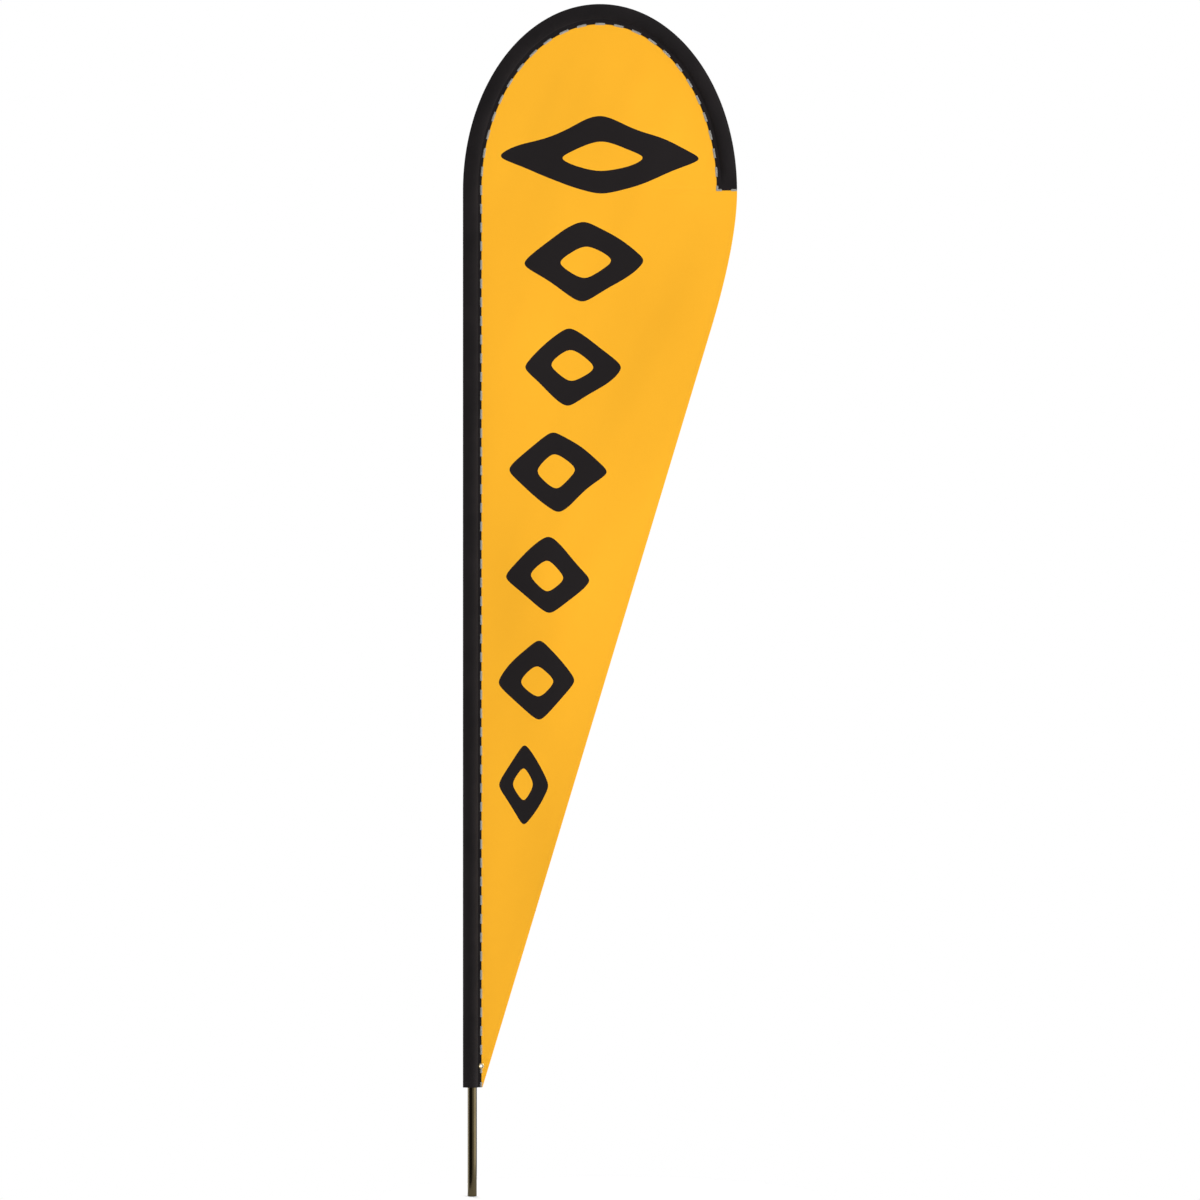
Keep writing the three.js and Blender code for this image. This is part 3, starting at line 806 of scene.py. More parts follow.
def cut_away(piece, cutter):
    """Takes the cutter's solid from the piece, and leaves no face with many corners or no area."""
    hole = piece.modifiers.new("hole", "BOOLEAN")
    hole.operation = "DIFFERENCE"
    hole.object = cutter
    settle(piece)
    bpy.data.meshes.remove(cutter.data)
    bm = bmesh.new()
    bm.from_mesh(piece.data)
    bmesh.ops.triangulate(bm, faces=[face for face in bm.faces if len(face.verts) > 4])
    bmesh.ops.dissolve_degenerate(bm, dist=SLIVER, edges=bm.edges[:])
    bm.to_mesh(piece.data)
    bm.free()
    keep_edges_crisp(piece)


def drill(node, radius, height, start, end):
    """A round hole at that height, from one place in X and Y to another."""
    way = Vector((*end, 0)) - Vector((*start, 0))
    bm = bmesh.new()
    bmesh.ops.create_cone(
        bm, cap_ends=True, segments=48, radius1=radius, radius2=radius, depth=way.length,
        matrix=Matrix.Translation(Vector((*start, height)) + way / 2)
        @ way.to_track_quat("Z", "Y").to_matrix().to_4x4(),
    )
    cut_away(turned[node], link_mesh("cutter", bm))


for node in ("swivel_collar", "middle_tube"):
    drill(node, PIN_RADIUS + FIT, pin_height, (0, -DRILL_REACH), (0, DRILL_REACH))
for node in ("middle_tube", "upper_ferrule"):
    drill(node, BUTTON_RADIUS + FIT, button_height, (0, 0), (-DRILL_REACH, 0))
print("pin holes at", round(pin_height, 4), "and button holes at", round(button_height, 4))

# %% Turn the pin
PIN_CHAMFER = 0.0003

pin_end = pin_high.y
bm = spun(
    [(0, -pin_end), (PIN_RADIUS, -pin_end), (PIN_RADIUS, pin_end), (0, pin_end)],
    32, PIN_CHAMFER, False,
)
for vert in bm.verts:
    vert.co = (vert.co.x, -vert.co.z, pin_height + vert.co.y)
pin = add_piece("collar_pin_turned", bm, STEEL, "flag", ("collar_pin",))
keep_edges_crisp(pin)
print("the pin is", round(2 * pin_end, 4), "m long")

# %% Turn the button
BUTTON_HEAD = 0.0008
BUTTON_DOME, BUTTON_ROUND = 0.0011, 0.002  # the dome's height, and how far it comes in
BUTTON_CHAMFER = 0.0001
DOME_STEPS = 6

head_radius = half_width("lock_button")
head_face, button_end = -button_high.x, -button_low.x
button = [(0, head_face), (head_radius, head_face), (head_radius, head_face + BUTTON_HEAD)]
button += [(BUTTON_RADIUS, head_face + BUTTON_HEAD), (BUTTON_RADIUS, button_end - BUTTON_DOME)]
for step in range(1, DOME_STEPS):
    turn = math.pi / 2 * step / DOME_STEPS
    button.append((
        BUTTON_RADIUS - BUTTON_ROUND * (1 - math.cos(turn)),
        button_end - BUTTON_DOME * (1 - math.sin(turn)),
    ))
button.append((0, button_end))
bm = spun(button, 40, BUTTON_CHAMFER, False)
for vert in bm.verts:
    vert.co = (-vert.co.z, vert.co.y, button_height + vert.co.x)
lock_button = add_piece(
    "lock_button_turned", bm, STEEL, "lock_button", ("lock_button",)
)
keep_edges_crisp(lock_button)
print("the button is", round(button_end - head_face, 4), "m long")

# %% [markdown]
# ## The sleeve
# The sleeve is a strip of heavy black cloth folded round the pole. Its two edges lie each side of the
# panel's edge and are sewn through. Round the pole it has a full, rounded section, and its last few
# centimetres are sewn flat. Each bar of stitching pulls the cloth in a little, and on the inside of
# the arch the cloth is too long for the curve and crumples finely. So the section is worked out at
# each step along the pole, on a grid that already has the strip's own width and length as its UVs.

# %% Place the seam, the stitches and the grommet
SLEEVE_CLOTH = 0.0005  # how thick it is
FLAT_HALF = 0.00055  # from the middle to each cloth where the sleeve is sewn flat
SEAM_ACROSS = 0.0155  # from the pole's line to where the two cloths meet
STITCH_PITCH = 0.0511
STITCH_LENGTH = 0.0255
FIRST_STITCH = 0.2854  # the distance along of the first bar's start
GROMMET_CUT = 0.0042

grommet_low, grommet_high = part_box("grommet_eyelet")
GROMMET = (grommet_low + grommet_high) / 2
print("the grommet is at", round(GROMMET.x, 4), "across and", round(GROMMET.z, 4), "up")

# %% Fill the sleeve out round the pole
FULL_AT_FOOT, FULL_AT_MIDDLE, FULL_AT_RODS = 0.0142, 0.0105, 0.0075
TAPER = 0.1  # the length in which it changes from one to the next
FLAT_END = 0.010  # the length sewn flat at the sleeve's end
TIP_ROOM = 0.012

FULLNESS = (  # distance along, and the half depth there
    (MOUTH, FULL_AT_FOOT),
    (collar_high.z + TIP_ROOM, FULL_AT_FOOT),
    (collar_high.z + TIP_ROOM + TAPER, FULL_AT_MIDDLE),
    (ferrule_high.z, FULL_AT_MIDDLE),
    (ferrule_high.z + TAPER, FULL_AT_RODS),
    (TIP_END + CAP_END + TIP_ROOM, FULL_AT_RODS),
    (SLEEVE_END - FLAT_END, FLAT_HALF),
    (SLEEVE_END + 1, FLAT_HALF),
)


def sleeve_fullness(along):
    """The sleeve's half depth there: full round each size of tube, with smooth changes."""
    for (s0, d0), (s1, d1) in zip(FULLNESS, FULLNESS[1:]):
        if along < s1:
            return d0 + (d1 - d0) * smooth_step((along - s0) / (s1 - s0))
    return FLAT_HALF


print("the sleeve is", round(2 * FULL_AT_FOOT, 4), "m deep at its mouth")

# %% Shape the sleeve's section
NOSE_POWER = 1.6  # 2 would be an ellipse, and less is more pointed
DRAPE = 0.07  # slow changes of depth, as a share of it
FINE_DRAPE = 0.03
STITCH_PULL = 0.07  # how much the stitches flatten it, as a share
CRUMPLE = 0.0009  # metres, inside the arch
CRUMPLED_WHEN = 0.005  # the fullness at which the crumple is whole
BAR_MIDDLE = FIRST_STITCH + STITCH_LENGTH / 2


def slow_noise(x, y, z):
    """A smooth random number from about -1 to 1 for that place."""
    return noise.noise(Vector((x, y, z)))


def sleeve_surface(along, across, side):
    """How far the sleeve's cloth stands from the middle, on the front (-1) or the back (1)."""
    if across >= SEAM_ACROSS:
        return side * FLAT_HALF
    if across < 0:
        round_off = (1 - min(1, -across / HALF_SLEEVE) ** NOSE_POWER) ** (1 / NOSE_POWER)
    else:
        round_off = math.sqrt(1 - (across / SEAM_ACROSS) ** 2)
    full = sleeve_fullness(along) - FLAT_HALF

    stitch = math.cos(2 * math.pi * (seam_distance(along) - BAR_MIDDLE) / STITCH_PITCH)
    drape = 1 + DRAPE * slow_noise(along * 7, side * 3, across * 30)
    drape += FINE_DRAPE * slow_noise(along * 45 + across * 60, side * 7, across * 90)
    drape -= STITCH_PULL * stitch * smooth_step(across / SEAM_ACROSS)

    in_arch = smooth_step((along - ARCH_BASE) / 0.15) * smooth_step((SLEEVE_END - along) / 0.1)
    inside = smooth_step(0.3 + across / SEAM_ACROSS)
    crumple = slow_noise(along * 170, side * 5, across * 25)
    crumple *= CRUMPLE * in_arch * inside * min(1, full / CRUMPLED_WHEN)
    return side * (FLAT_HALF + full * round_off * drape + crumple)


depth_there = sleeve_surface(ARCH_BASE / 2, 0.0, 1) - sleeve_surface(ARCH_BASE / 2, 0.0, -1)
print("halfway up to the arch it is", round(depth_there, 4), "m deep")

# %% Lay out the sleeve's grid
SLEEVE_SPACING = 0.010
ARCH_SPACING = 0.004
GROMMET_SPACING = 0.0015
FINE_NEAR_GROMMET = 0.012
FLANGE_POINTS, BELLY_POINTS, NOSE_POINTS = 6, 10, 12
NOSE = -(HALF_SLEEVE - SLEEVE_CLOTH / 2)

flange_step = (HALF_SLEEVE - SEAM_ACROSS) / FLANGE_POINTS
strip = [HALF_SLEEVE - flange_step * i for i in range(FLANGE_POINTS)]
strip += [SEAM_ACROSS * math.cos(math.pi / 2 * i / BELLY_POINTS) for i in range(BELLY_POINTS)]
strip += [NOSE * math.sin(math.pi / 2 * i / NOSE_POINTS) for i in range(NOSE_POINTS)]
front_strip = [(across, -1) for across in strip]
around = front_strip + [(NOSE, 0)] + [(across, 1) for across, _ in reversed(front_strip)]


def stations(first, last):
    """Distances along the sleeve: close together by the grommet and in the arch."""
    by_grommet = [GROMMET.z - FINE_NEAR_GROMMET, GROMMET.z + FINE_NEAR_GROMMET]
    marks = [first, *by_grommet, ARCH_BASE, last]
    spacings = [SLEEVE_SPACING, GROMMET_SPACING, SLEEVE_SPACING, ARCH_SPACING]
    found = [first]
    for low, high, spacing in zip(marks, marks[1:], spacings):
        found += steps_between(low, high, spacing)[1:]
    return found


sleeve_rows = stations(MOUTH, SLEEVE_END)
print("the sleeve's grid is", len(around), "points round and", len(sleeve_rows), "along")

# %% Helpers for cloth grids
def grid_piece(columns, rows, place, cloth_size):
    """A bmesh grid of rows and columns, its points moved by place, with UVs in metres."""
    bm = bmesh.new()
    uv = bm.loops.layers.uv.new("cloth")
    bmesh.ops.create_grid(bm, x_segments=len(columns) - 1, y_segments=len(rows) - 1, size=1)
    bm.verts.ensure_lookup_table()
    order = sorted(bm.verts, key=lambda v: (round(v.co.y, 6), round(v.co.x, 6)))
    spot = {}
    for index, vert in enumerate(order):
        spot[vert.index] = divmod(index, len(columns))
    for face in bm.faces:
        for loop in face.loops:
            row, column = spot[loop.vert.index]
            loop[uv].uv = cloth_size(rows[row], columns[column], column)
    for vert in order:
        row, column = spot[vert.index]
        vert.co = place(rows[row], columns[column])
    return bm


def open_grommet_hole(bm):
    """Takes away the faces that the grommet's barrel goes through."""
    near = {
        vert for vert in bm.verts
        if math.hypot(vert.co.x - GROMMET.x, vert.co.z - GROMMET.z) < GROMMET_CUT
    }
    faces = [face for face in bm.faces if near.intersection(face.verts)]
    bmesh.ops.delete(bm, geom=faces, context="FACES")
    print("faces taken away for the grommet:", len(faces))


# %% Cut the sleeve's strip
def sleeve_place(along, spot):
    """The place of a grid point, from its distance along, and its distance across and side."""
    across, side = spot
    if side == 0:
        return pole_point(along, across, 0)
    out = sleeve_surface(along, across, side)
    flange = max(0.0, across - SEAM_ACROSS) / (HALF_SLEEVE - SEAM_ACROSS)
    return pole_point(along, across + widening(along) * flange, out)


MEASURED_AT = MOUTH + 0.3

strip_width = [0.0]
for here, there in zip(around, around[1:]):
    gap = sleeve_place(MEASURED_AT, here) - sleeve_place(MEASURED_AT, there)
    strip_width.append(strip_width[-1] + gap.length)

bm = grid_piece(
    around, sleeve_rows, sleeve_place, lambda along, spot, column: (strip_width[column], along)
)
open_grommet_hole(bm)

# %% [markdown]
# Sleeve cloth is a close, dull knit. It keeps some shine on the ribs, which shows the roundness of
# the pole, and it is a little greyer where it rubs.

# %% Paint the sleeve
def sleeve_finish():
    """Black knit, greyer and shinier on its loops."""
    material, tree, shader = new_finish(
        "sleeve_cloth", (0.010, 0.008, 0.0085), 0.82, Specular_IOR_Level=0.12,
        Sheen_Weight=0.05, Sheen_Roughness=0.5,
    )
    place = cloth_place(tree)
    knit = place_group(tree, KNIT, place, Pitch=0.0011)
    cloud = place_group(tree, CLOUD, place, Scale=9.0)
    worn = cloud.outputs["Cloud"]
    vary_colour(tree, shader, worn, (0.0075, 0.006, 0.0065), (0.0125, 0.010, 0.0105))
    vary_roughness(tree, shader, knit.outputs["Shade"], 0.72, 0.9)
    add_bump(tree, shader, knit.outputs["Height"], 0.00018, 0.6)
    return material


SLEEVE_FINISH = sleeve_finish()
sleeve = add_piece(
    "pole_sleeve", bm, SLEEVE_FINISH, "flag",
    ("sleeve_straight", "sleeve_arch_mast_side", "sleeve_arch_fly_side"),
)
thicken(sleeve, SLEEVE_CLOTH)
print("the sleeve has", len(sleeve.data.polygons), "faces before it is thickened")

# %% [markdown]
# The mouth of the sleeve is hemmed: the cloth is turned up inside and sewn. The turned-up band is a
# second, shorter strip just inside the first.

# %% Make the hem in the mouth
MOUTH_HEM = 0.018
HEM_INSET = SLEEVE_CLOTH * 1.4  # how far inside the sleeve's cloth it lies
HEM_START = 0.0002
HEM_POINT = 0.004  # about how far apart its points are round the section


def mouth_place(along, spot):
    """The sleeve's own place for that point, moved in by the inset."""
    across, side = spot
    if side == 0:
        return pole_point(along, across + HEM_INSET, 0)
    depth = max(abs(sleeve_surface(along, across, side)) - HEM_INSET, 0.0)
    shift = HEM_INSET * max(0.0, -across / HALF_SLEEVE)
    return pole_point(along, across + shift, side * depth)


inner_around = [spot for spot in around if spot[0] <= SEAM_ACROSS * 0.9]
hem_rows = steps_between(MOUTH + HEM_START, MOUTH + MOUTH_HEM, 0.006)
bm = grid_piece(
    inner_around, hem_rows, mouth_place,
    lambda along, spot, column: (column * HEM_POINT, along),
)
mouth_hem = add_piece("mouth_hem", bm, SLEEVE_FINISH, "flag")
thicken(mouth_hem, SLEEVE_CLOTH * 0.8)
print("the mouth's hem is", MOUTH_HEM, "m deep")

# %% [markdown]
# ## The panel
# The panel's cut is bounded by the seam and the free edge, so the grid is made row by row: each row
# runs from the seam across to the other side at its own height. Wind and the pole's pull leave long
# low waves, which die away at the seam, and small puckers run out of it between the stitches. The
# flag stays nearly flat, because it is stretched between the arch and the grommet.

# %% Work out the panel's outline
PANEL_CLOTH = 0.0003
PANEL_EDGE = 0.0195  # from the pole's line to the panel's sewn edge
TONGUE = 0.009  # the height of the tongue that is sewn into the sleeve's end
TONGUE_NOSE = 0.0242
BOTTOM_CORNER = 0.028
STRAIGHT_TOP = Vector((0.6523, 2.3685))  # where the free edge begins to curve
BEND_POINT = Vector((0.7245, 2.6088))

panel_low, panel_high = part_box("flag_panel")
TIP = Vector((panel_high.x, ARCH_BASE))
BOTTOM = Vector((BOTTOM_CORNER, panel_low.z))


def seam_side(height, far):
    """Where the panel's sewn edge is at that height, on the pole's side or the far side."""
    if height <= ARCH_BASE:
        return PANEL_EDGE
    rise, width = ARCH_RISE - PANEL_EDGE, ARCH_HALF_WIDTH - PANEL_EDGE
    reach = width * math.sqrt(max(0.0, 1 - ((height - ARCH_BASE) / rise) ** 2))
    return ARCH_HALF_WIDTH + (reach if far else -reach)


def free_edge_at(height):
    """Where the free edge is at that height: a straight run, then a curve up to the tip."""
    if height <= STRAIGHT_TOP.y:
        share = (height - BOTTOM.y) / (STRAIGHT_TOP.y - BOTTOM.y)
        return BOTTOM.x + (STRAIGHT_TOP.x - BOTTOM.x) * share
    # The curve is a quadratic Bezier, and its height is solved for its parameter.
    a = STRAIGHT_TOP.y - 2 * BEND_POINT.y + TIP.y
    b = 2 * (BEND_POINT.y - STRAIGHT_TOP.y)
    c = STRAIGHT_TOP.y - min(height, TIP.y)
    t = (-b + math.sqrt(max(0.0, b * b - 4 * a * c))) / (2 * a) if abs(a) > 1e-9 else -c / b
    return (1 - t) ** 2 * STRAIGHT_TOP.x + 2 * t * (1 - t) * BEND_POINT.x + t * t * TIP.x


def far_side(height):
    """The panel's other boundary at that height: the free edge, then the tongue, then the arch."""
    if height <= ARCH_BASE:
        return free_edge_at(height)
    tongue = 2 * ARCH_HALF_WIDTH + TONGUE_NOSE
    into = (height - ARCH_BASE) / TONGUE
    inner = seam_side(height, far=True)
    return inner if into >= 1 else tongue + (inner - tongue) * smooth_step(into * 2 - 1)


print("the free edge runs from", tuple(BOTTOM), "to", tuple(TIP))

# %% Work out the panel's waves
LONG_WAVE, CROSS_WAVE, SLOW_WAVE = 0.0075, 0.0045, 0.0030  # heights in metres
FOLD, PUCKER = 0.0012, 0.0006
HELD_FOR = 0.22  # how far from the seam the waves are whole
FOLD_FROM = 0.1
CALM_BELOW = 0.5  # how far above the bottom corner they are whole
PUCKER_START, PUCKER_FADE = 0.008, 0.035


def from_seam(x, z):
    """About how far that place is from where the panel is held."""
    if z > ARCH_BASE:
        radial = math.hypot(
            (x - ARCH_HALF_WIDTH) / (ARCH_HALF_WIDTH - HALF_SLEEVE),
            (z - ARCH_BASE) / (ARCH_RISE - HALF_SLEEVE),
        )
        return (1 - radial) * ARCH_HALF_WIDTH
    # Below the sleeve's end the free edge is loose, and only the pole's side is held.
    end_hold = math.hypot(x - TIP.x + HALF_SLEEVE, z - ARCH_BASE)
    return min(x - HALF_SLEEVE, end_hold * 1.3 + max(0.0, ARCH_BASE - z) * 0.5)


def panel_lift(x, z):
    """How far the cloth stands towards the back at that place. It is nothing along the seam."""
    away = from_seam(x, z)
    if away <= 0:
        return 0.0
    wave = LONG_WAVE * math.sin(2.9 * z + 3.2 * x + 0.4)
    wave += CROSS_WAVE * math.sin(6.1 * z - 7.0 * x + 1.9)
    wave += SLOW_WAVE * slow_noise(x * 4, 11, z * 3)
    fold = FOLD * slow_noise((x * 0.55 - z * 0.25) * 22, 3, (z * 0.55 + x * 0.25) * 3)
    low = wave * smooth_step(away / HELD_FOR) + fold * smooth_step(away / FOLD_FROM)
    low *= smooth_step((z - BOTTOM.y) / CALM_BELOW)
    if z > ARCH_BASE:
        return low
    pucker = PUCKER * math.cos(2 * math.pi * (z - FIRST_STITCH) / STITCH_PITCH)
    return low + pucker * smooth_step(away / PUCKER_START) * math.exp(-away / PUCKER_FADE)


print("in the middle of the panel the cloth stands", round(panel_lift(0.4, 2.2), 4), "m back")

# %% Lay out the panel's rows
PANEL_COLUMNS = 72
PANEL_SPACING = 0.012
TURN_SPACING = 0.028  # between rows in the arch, as an angle
CROWN_GAP = 0.02  # the angle left out at the very top

columns = [i / PANEL_COLUMNS for i in range(PANEL_COLUMNS + 1)]
marks = [
    (panel_low.z, GROMMET.z - FINE_NEAR_GROMMET, 0.006),
    (GROMMET.z - FINE_NEAR_GROMMET, GROMMET.z + FINE_NEAR_GROMMET, GROMMET_SPACING),
    (GROMMET.z + FINE_NEAR_GROMMET, ARCH_BASE, PANEL_SPACING),
    (ARCH_BASE, ARCH_BASE + TONGUE, TONGUE / 6),
]
panel_rows = [panel_low.z]
for low, high, spacing in marks:
    panel_rows += steps_between(low, high, spacing)[1:]
crown_room = ARCH_RISE - PANEL_EDGE
first_turn = math.asin(TONGUE / crown_room)
for turn in steps_between(first_turn, math.pi / 2 - CROWN_GAP, TURN_SPACING)[1:]:
    panel_rows.append(ARCH_BASE + crown_room * math.sin(turn))
print("the panel's grid is", len(columns), "points across and", len(panel_rows), "up")

# %% Cut the panel
EDGE_INSET = 0.0006  # how far the cloth stops inside the hem's fold


def panel_place(height, share):
    """The place of a grid point, from its height and its share of the way to the far side."""
    near = seam_side(height, far=False)
    far = far_side(height)
    if height <= ARCH_BASE:
        far -= EDGE_INSET
    x = near + (far - near) * share
    return Vector((x, panel_lift(x, height), height))


def panel_uv(height, share, column):
    """The panel's cloth is measured by its own X and Z, as its print is."""
    return (panel_place(height, share).x, height)


bm = grid_piece(columns, panel_rows, panel_place, panel_uv)
open_grommet_hole(bm)
panel_area = sum(face.calc_area() for face in bm.faces)

# %% [markdown]
# ## The panel's colour and print
# The panel is dyed knit polyester, printed right through so that both faces match. The print is a
# column of seven hollow lozenges that narrow towards the foot of the flag. Each is a lozenge with
# rounded corners, less a smaller one, and slow noise bends it as a brush would. It is placed by the
# flag's own X and Z, which pass straight through the cloth.

# %% Draw the lozenges
LOZENGE_TOP = 2.843  # the middle of the top one
LOZENGE_PITCH = 0.2869
LOZENGE_HEIGHT = 0.216
LOZENGES = (  # centre across, width, both in metres
    (0.353, 0.547), (0.310, 0.330), (0.271, 0.262), (0.2325, 0.268),
    (0.2065, 0.232), (0.1805, 0.202), (0.1395, 0.140),
)
HOLLOW = 0.42  # the size of the hole in it, as a share
CORNER_ROUND = 0.13
BRUSH_SWAY, BRUSH_SCALE = 0.03, 6.0  # how far the edges are bent, and how often


def make_lozenge_group():
    """Gives 1 inside a hollow lozenge and 0 outside it, for a centre and half sizes."""
    sockets = {
        "Vector": "NodeSocketVector", "Centre X": "NodeSocketFloat", "Centre Z": "NodeSocketFloat",
        "Half Width": "NodeSocketFloat", "Half Height": "NodeSocketFloat",
    }
    group, entry, exit_ = new_group("hollow_lozenge", sockets, ("Ink",))
    split = group.nodes.new("ShaderNodeSeparateXYZ")
    group.links.new(entry.outputs["Vector"], split.inputs[0])
    shares = []
    for axis, middle, half in (("X", "Centre X", "Half Width"), ("Z", "Centre Z", "Half Height")):
        offset = math_node(group, "SUBTRACT", split.outputs[axis], entry.outputs[middle])
        share = math_node(group, "DIVIDE", offset, entry.outputs[half])
        squared = math_node(group, "MULTIPLY", share, share)
        squared = math_node(group, "ADD", squared, CORNER_ROUND**2)
        shares.append(math_node(group, "SQRT", squared))
    size = math_node(group, "SUBTRACT", math_node(group, "ADD", *shares), CORNER_ROUND)
    inside = math_node(group, "LESS_THAN", size, 1.0)
    solid = math_node(group, "GREATER_THAN", size, HOLLOW)
    group.links.new(math_node(group, "MULTIPLY", inside, solid), exit_.inputs["Ink"])
    return group


LOZENGE = make_lozenge_group()


def print_mask(tree, place):
    """The output that is 1 where the panel is printed black, with edges bent as by a brush."""
    wobble = add_node(tree, "ShaderNodeTexNoise", Scale=BRUSH_SCALE, Detail=0.0)
    tree.links.new(place, wobble.inputs["Vector"])
    sway = add_node(tree, "ShaderNodeVectorMath")
    sway.operation = "MULTIPLY_ADD"
    sway.inputs[1].default_value = (BRUSH_SWAY, 0, BRUSH_SWAY)
    sway.inputs[2].default_value = (-BRUSH_SWAY / 2, 0, -BRUSH_SWAY / 2)
    tree.links.new(wobble.outputs["Color"], sway.inputs[0])
    moved = add_node(tree, "ShaderNodeVectorMath")
    moved.operation = "ADD"
    tree.links.new(place, moved.inputs[0])
    tree.links.new(sway.outputs[0], moved.inputs[1])
    ink = 0.0
    for row, (middle, width) in enumerate(LOZENGES):
        lozenge = place_group(tree, LOZENGE, moved.outputs[0], **{
            "Centre X": middle, "Centre Z": LOZENGE_TOP - row * LOZENGE_PITCH,
            "Half Width": width / 2, "Half Height": LOZENGE_HEIGHT / 2,
        })
        ink = math_node(tree, "MAXIMUM", lozenge.outputs["Ink"], ink)
    return ink


print("the print has", len(LOZENGES), "lozenges,", LOZENGE_HEIGHT, "m high")

# %% Paint the panel
YELLOW = (0.985, 0.478, 0.0235)
# The darker yellow: the dye's own mottle, and painted shade in the knit's hollows.
YELLOW_MOTTLE_AND_HOLLOW_SHADE = (0.955, 0.450, 0.0205)
PRINT_BLACK = (0.0125, 0.0100, 0.0105)


def panel_finish():
    """Yellow knit with a slow mottle and a painted shade in the hollows of its loops, and the print
    over it.
    """
    material, tree, shader = new_finish(
        "flag_cloth", YELLOW, 0.8, Specular_IOR_Level=0.12, Sheen_Weight=0.04, Sheen_Roughness=0.4,
    )
    place = object_place(tree)
    knit = place_group(tree, KNIT, cloth_place(tree), Pitch=0.0010)
    cloud = place_group(tree, CLOUD, place, Scale=3.0)
    # Six tenths of the darkening are clouding of the dye, and four tenths are the knit's painted shade
    # in its hollows.
    mottle = math_node(tree, "MULTIPLY", cloud.outputs["Cloud"], 0.6)
    shade = math_node(tree, "MULTIPLY_ADD", knit.outputs["Shade"], 0.4)
    tree.links.new(mottle, shade.node.inputs[2])
    _, dyed = vary_colour(tree, shader, shade, YELLOW_MOTTLE_AND_HOLLOW_SHADE, YELLOW)
    ink = print_mask(tree, place)
    print_mix, _ = vary_colour(tree, shader, ink, YELLOW, PRINT_BLACK)
    tree.links.new(dyed, [s for s in print_mix.inputs if s.type == "RGBA"][0])
    vary_roughness(tree, shader, knit.outputs["Shade"], 0.72, 0.86)
    add_bump(tree, shader, knit.outputs["Height"], 0.00014, 0.5)
    return material


FLAG_FINISH = panel_finish()
panel = add_piece("panel_cloth", bm, FLAG_FINISH, "flag", ("flag_panel",))
thicken(panel, PANEL_CLOTH)
print("the panel has", len(panel.data.polygons), "faces before it is thickened")

# %% [markdown]
# ## The hem of the free edge
# The free edge is turned over to the back and sewn, which keeps it from fraying. The front stays
# smooth but for a fine row of stitches, and the back shows the folded band and its step.

# %% Make the free edge's hem
HEM_BACK = 0.00041  # how far the turned-over cloth lies behind the panel
HEM_SECTION = (  # inwards from the edge, and towards the back
    (0.0009, 0.0), (0.0004, 0.00001), (0.0001, 0.00008), (0.0, 0.0002), (0.0001, 0.00031),
    (0.0005, 0.00039), (0.0030, HEM_BACK), (0.0080, HEM_BACK), (0.0120, 0.00036),
)
HEM_CLOTH = 0.00028
HEM_STRAND = 0.0024  # about how far apart the section's points are, along the cloth
HEM_SPACING = 0.010
HEM_STOP = 0.0005  # how far below the sleeve's end it stops
EDGE_REACH = 0.004

hem_heights = steps_between(BOTTOM.y, TIP.y - HEM_STOP, HEM_SPACING)


def edge_inward(height):
    """The way into the panel from its free edge, in X and Z."""
    low, high = max(height - EDGE_REACH, BOTTOM.y), min(height + EDGE_REACH, TIP.y)
    along = Vector((free_edge_at(high) - free_edge_at(low), high - low)).normalized()
    return Vector((-along.y, along.x))


def on_hem(height, inward, through):
    """The place that far in from the free edge, and that far behind the panel."""
    into = edge_inward(height)
    x = free_edge_at(height) + into.x * inward
    z = height + into.y * inward
    return Vector((max(x, PANEL_EDGE), panel_lift(x, z) + through, z))


bm = grid_piece(
    HEM_SECTION, hem_heights,
    lambda height, spot: on_hem(height, *spot),
    lambda height, spot, column: (column * HEM_STRAND, height),
)
hem = add_piece("free_edge_hem", bm, FLAG_FINISH, "flag")
thicken(hem, HEM_CLOTH)
print("the free edge's hem is", HEM_SECTION[-1][0], "m wide")

# %% [markdown]
# ## Thread
# Thread is a curve with a bevel, so each stitch is a real raised loop with both ends in the cloth.
# The seam is held by bars of close grey zigzag, with a plain gap after each, on both faces. Each bar
# covers the sleeve's raw edge, half on the sleeve and half on the panel. The hems have short
# straight stitches in a thread of the cloth's own colour.

# %% Helper for thread
def add_thread(name, paths, radius, finish, replaced=()):
    """One piece of thread from many separate paths, each a list of points."""
    curve = bpy.data.curves.new(name, "CURVE")
    curve.dimensions = "3D"
    curve.bevel_depth = radius
    curve.bevel_resolution = 0  # a square section, which is enough for so fine a thread
    curve.use_fill_caps = True
    for path in paths:
        spline = curve.splines.new("POLY")
        spline.points.add(len(path) - 1)
        for point, place in zip(spline.points, path):
            point.co = (*place, 1)
    curve.materials.append(finish)
    shaped = bpy.data.objects.new(name + "_curve", curve)
    bpy.context.scene.collection.objects.link(shaped)
    bpy.context.view_layer.update()
    mesh = bpy.data.meshes.new_from_object(shaped)
    bpy.data.objects.remove(shaped)
    mesh.name = name
    piece = bpy.data.objects.new(name, mesh)
    bpy.context.scene.collection.objects.link(piece)
    print(name, "is", len(paths), "separate stitches")
    return join_frame(piece, "flag", replaced)


# %% Form the seam's zigzag
THREAD_RADIUS = 0.00033
BAR_HALF = 0.0031  # half a bar's width
BAR_LEFT, BAR_RIGHT = STITCH_ACROSS - BAR_HALF, STITCH_ACROSS + BAR_HALF
ZIGZAG_STEP = 0.00062
ZIGZAG_LEAN = 0.45  # how far a crossing leans, as a share of the step
GROMMET_ROOM = 0.0083
END_BARS = ((-0.0245, -0.0095), (0.0165, 0.0310))  # across the sleeve's end, from the pole's line
sleeve_face = FLAT_HALF + SLEEVE_CLOTH / 2
panel_face = PANEL_CLOTH / 2
CROSSING = (  # the share of the way across the bar, and the thread's height there
    (0.0, sleeve_face - THREAD_RADIUS), (0.07, sleeve_face + THREAD_RADIUS * 0.7),
    (0.62, sleeve_face + THREAD_RADIUS * 0.7), (1.0, panel_face - THREAD_RADIUS * 0.5),
)


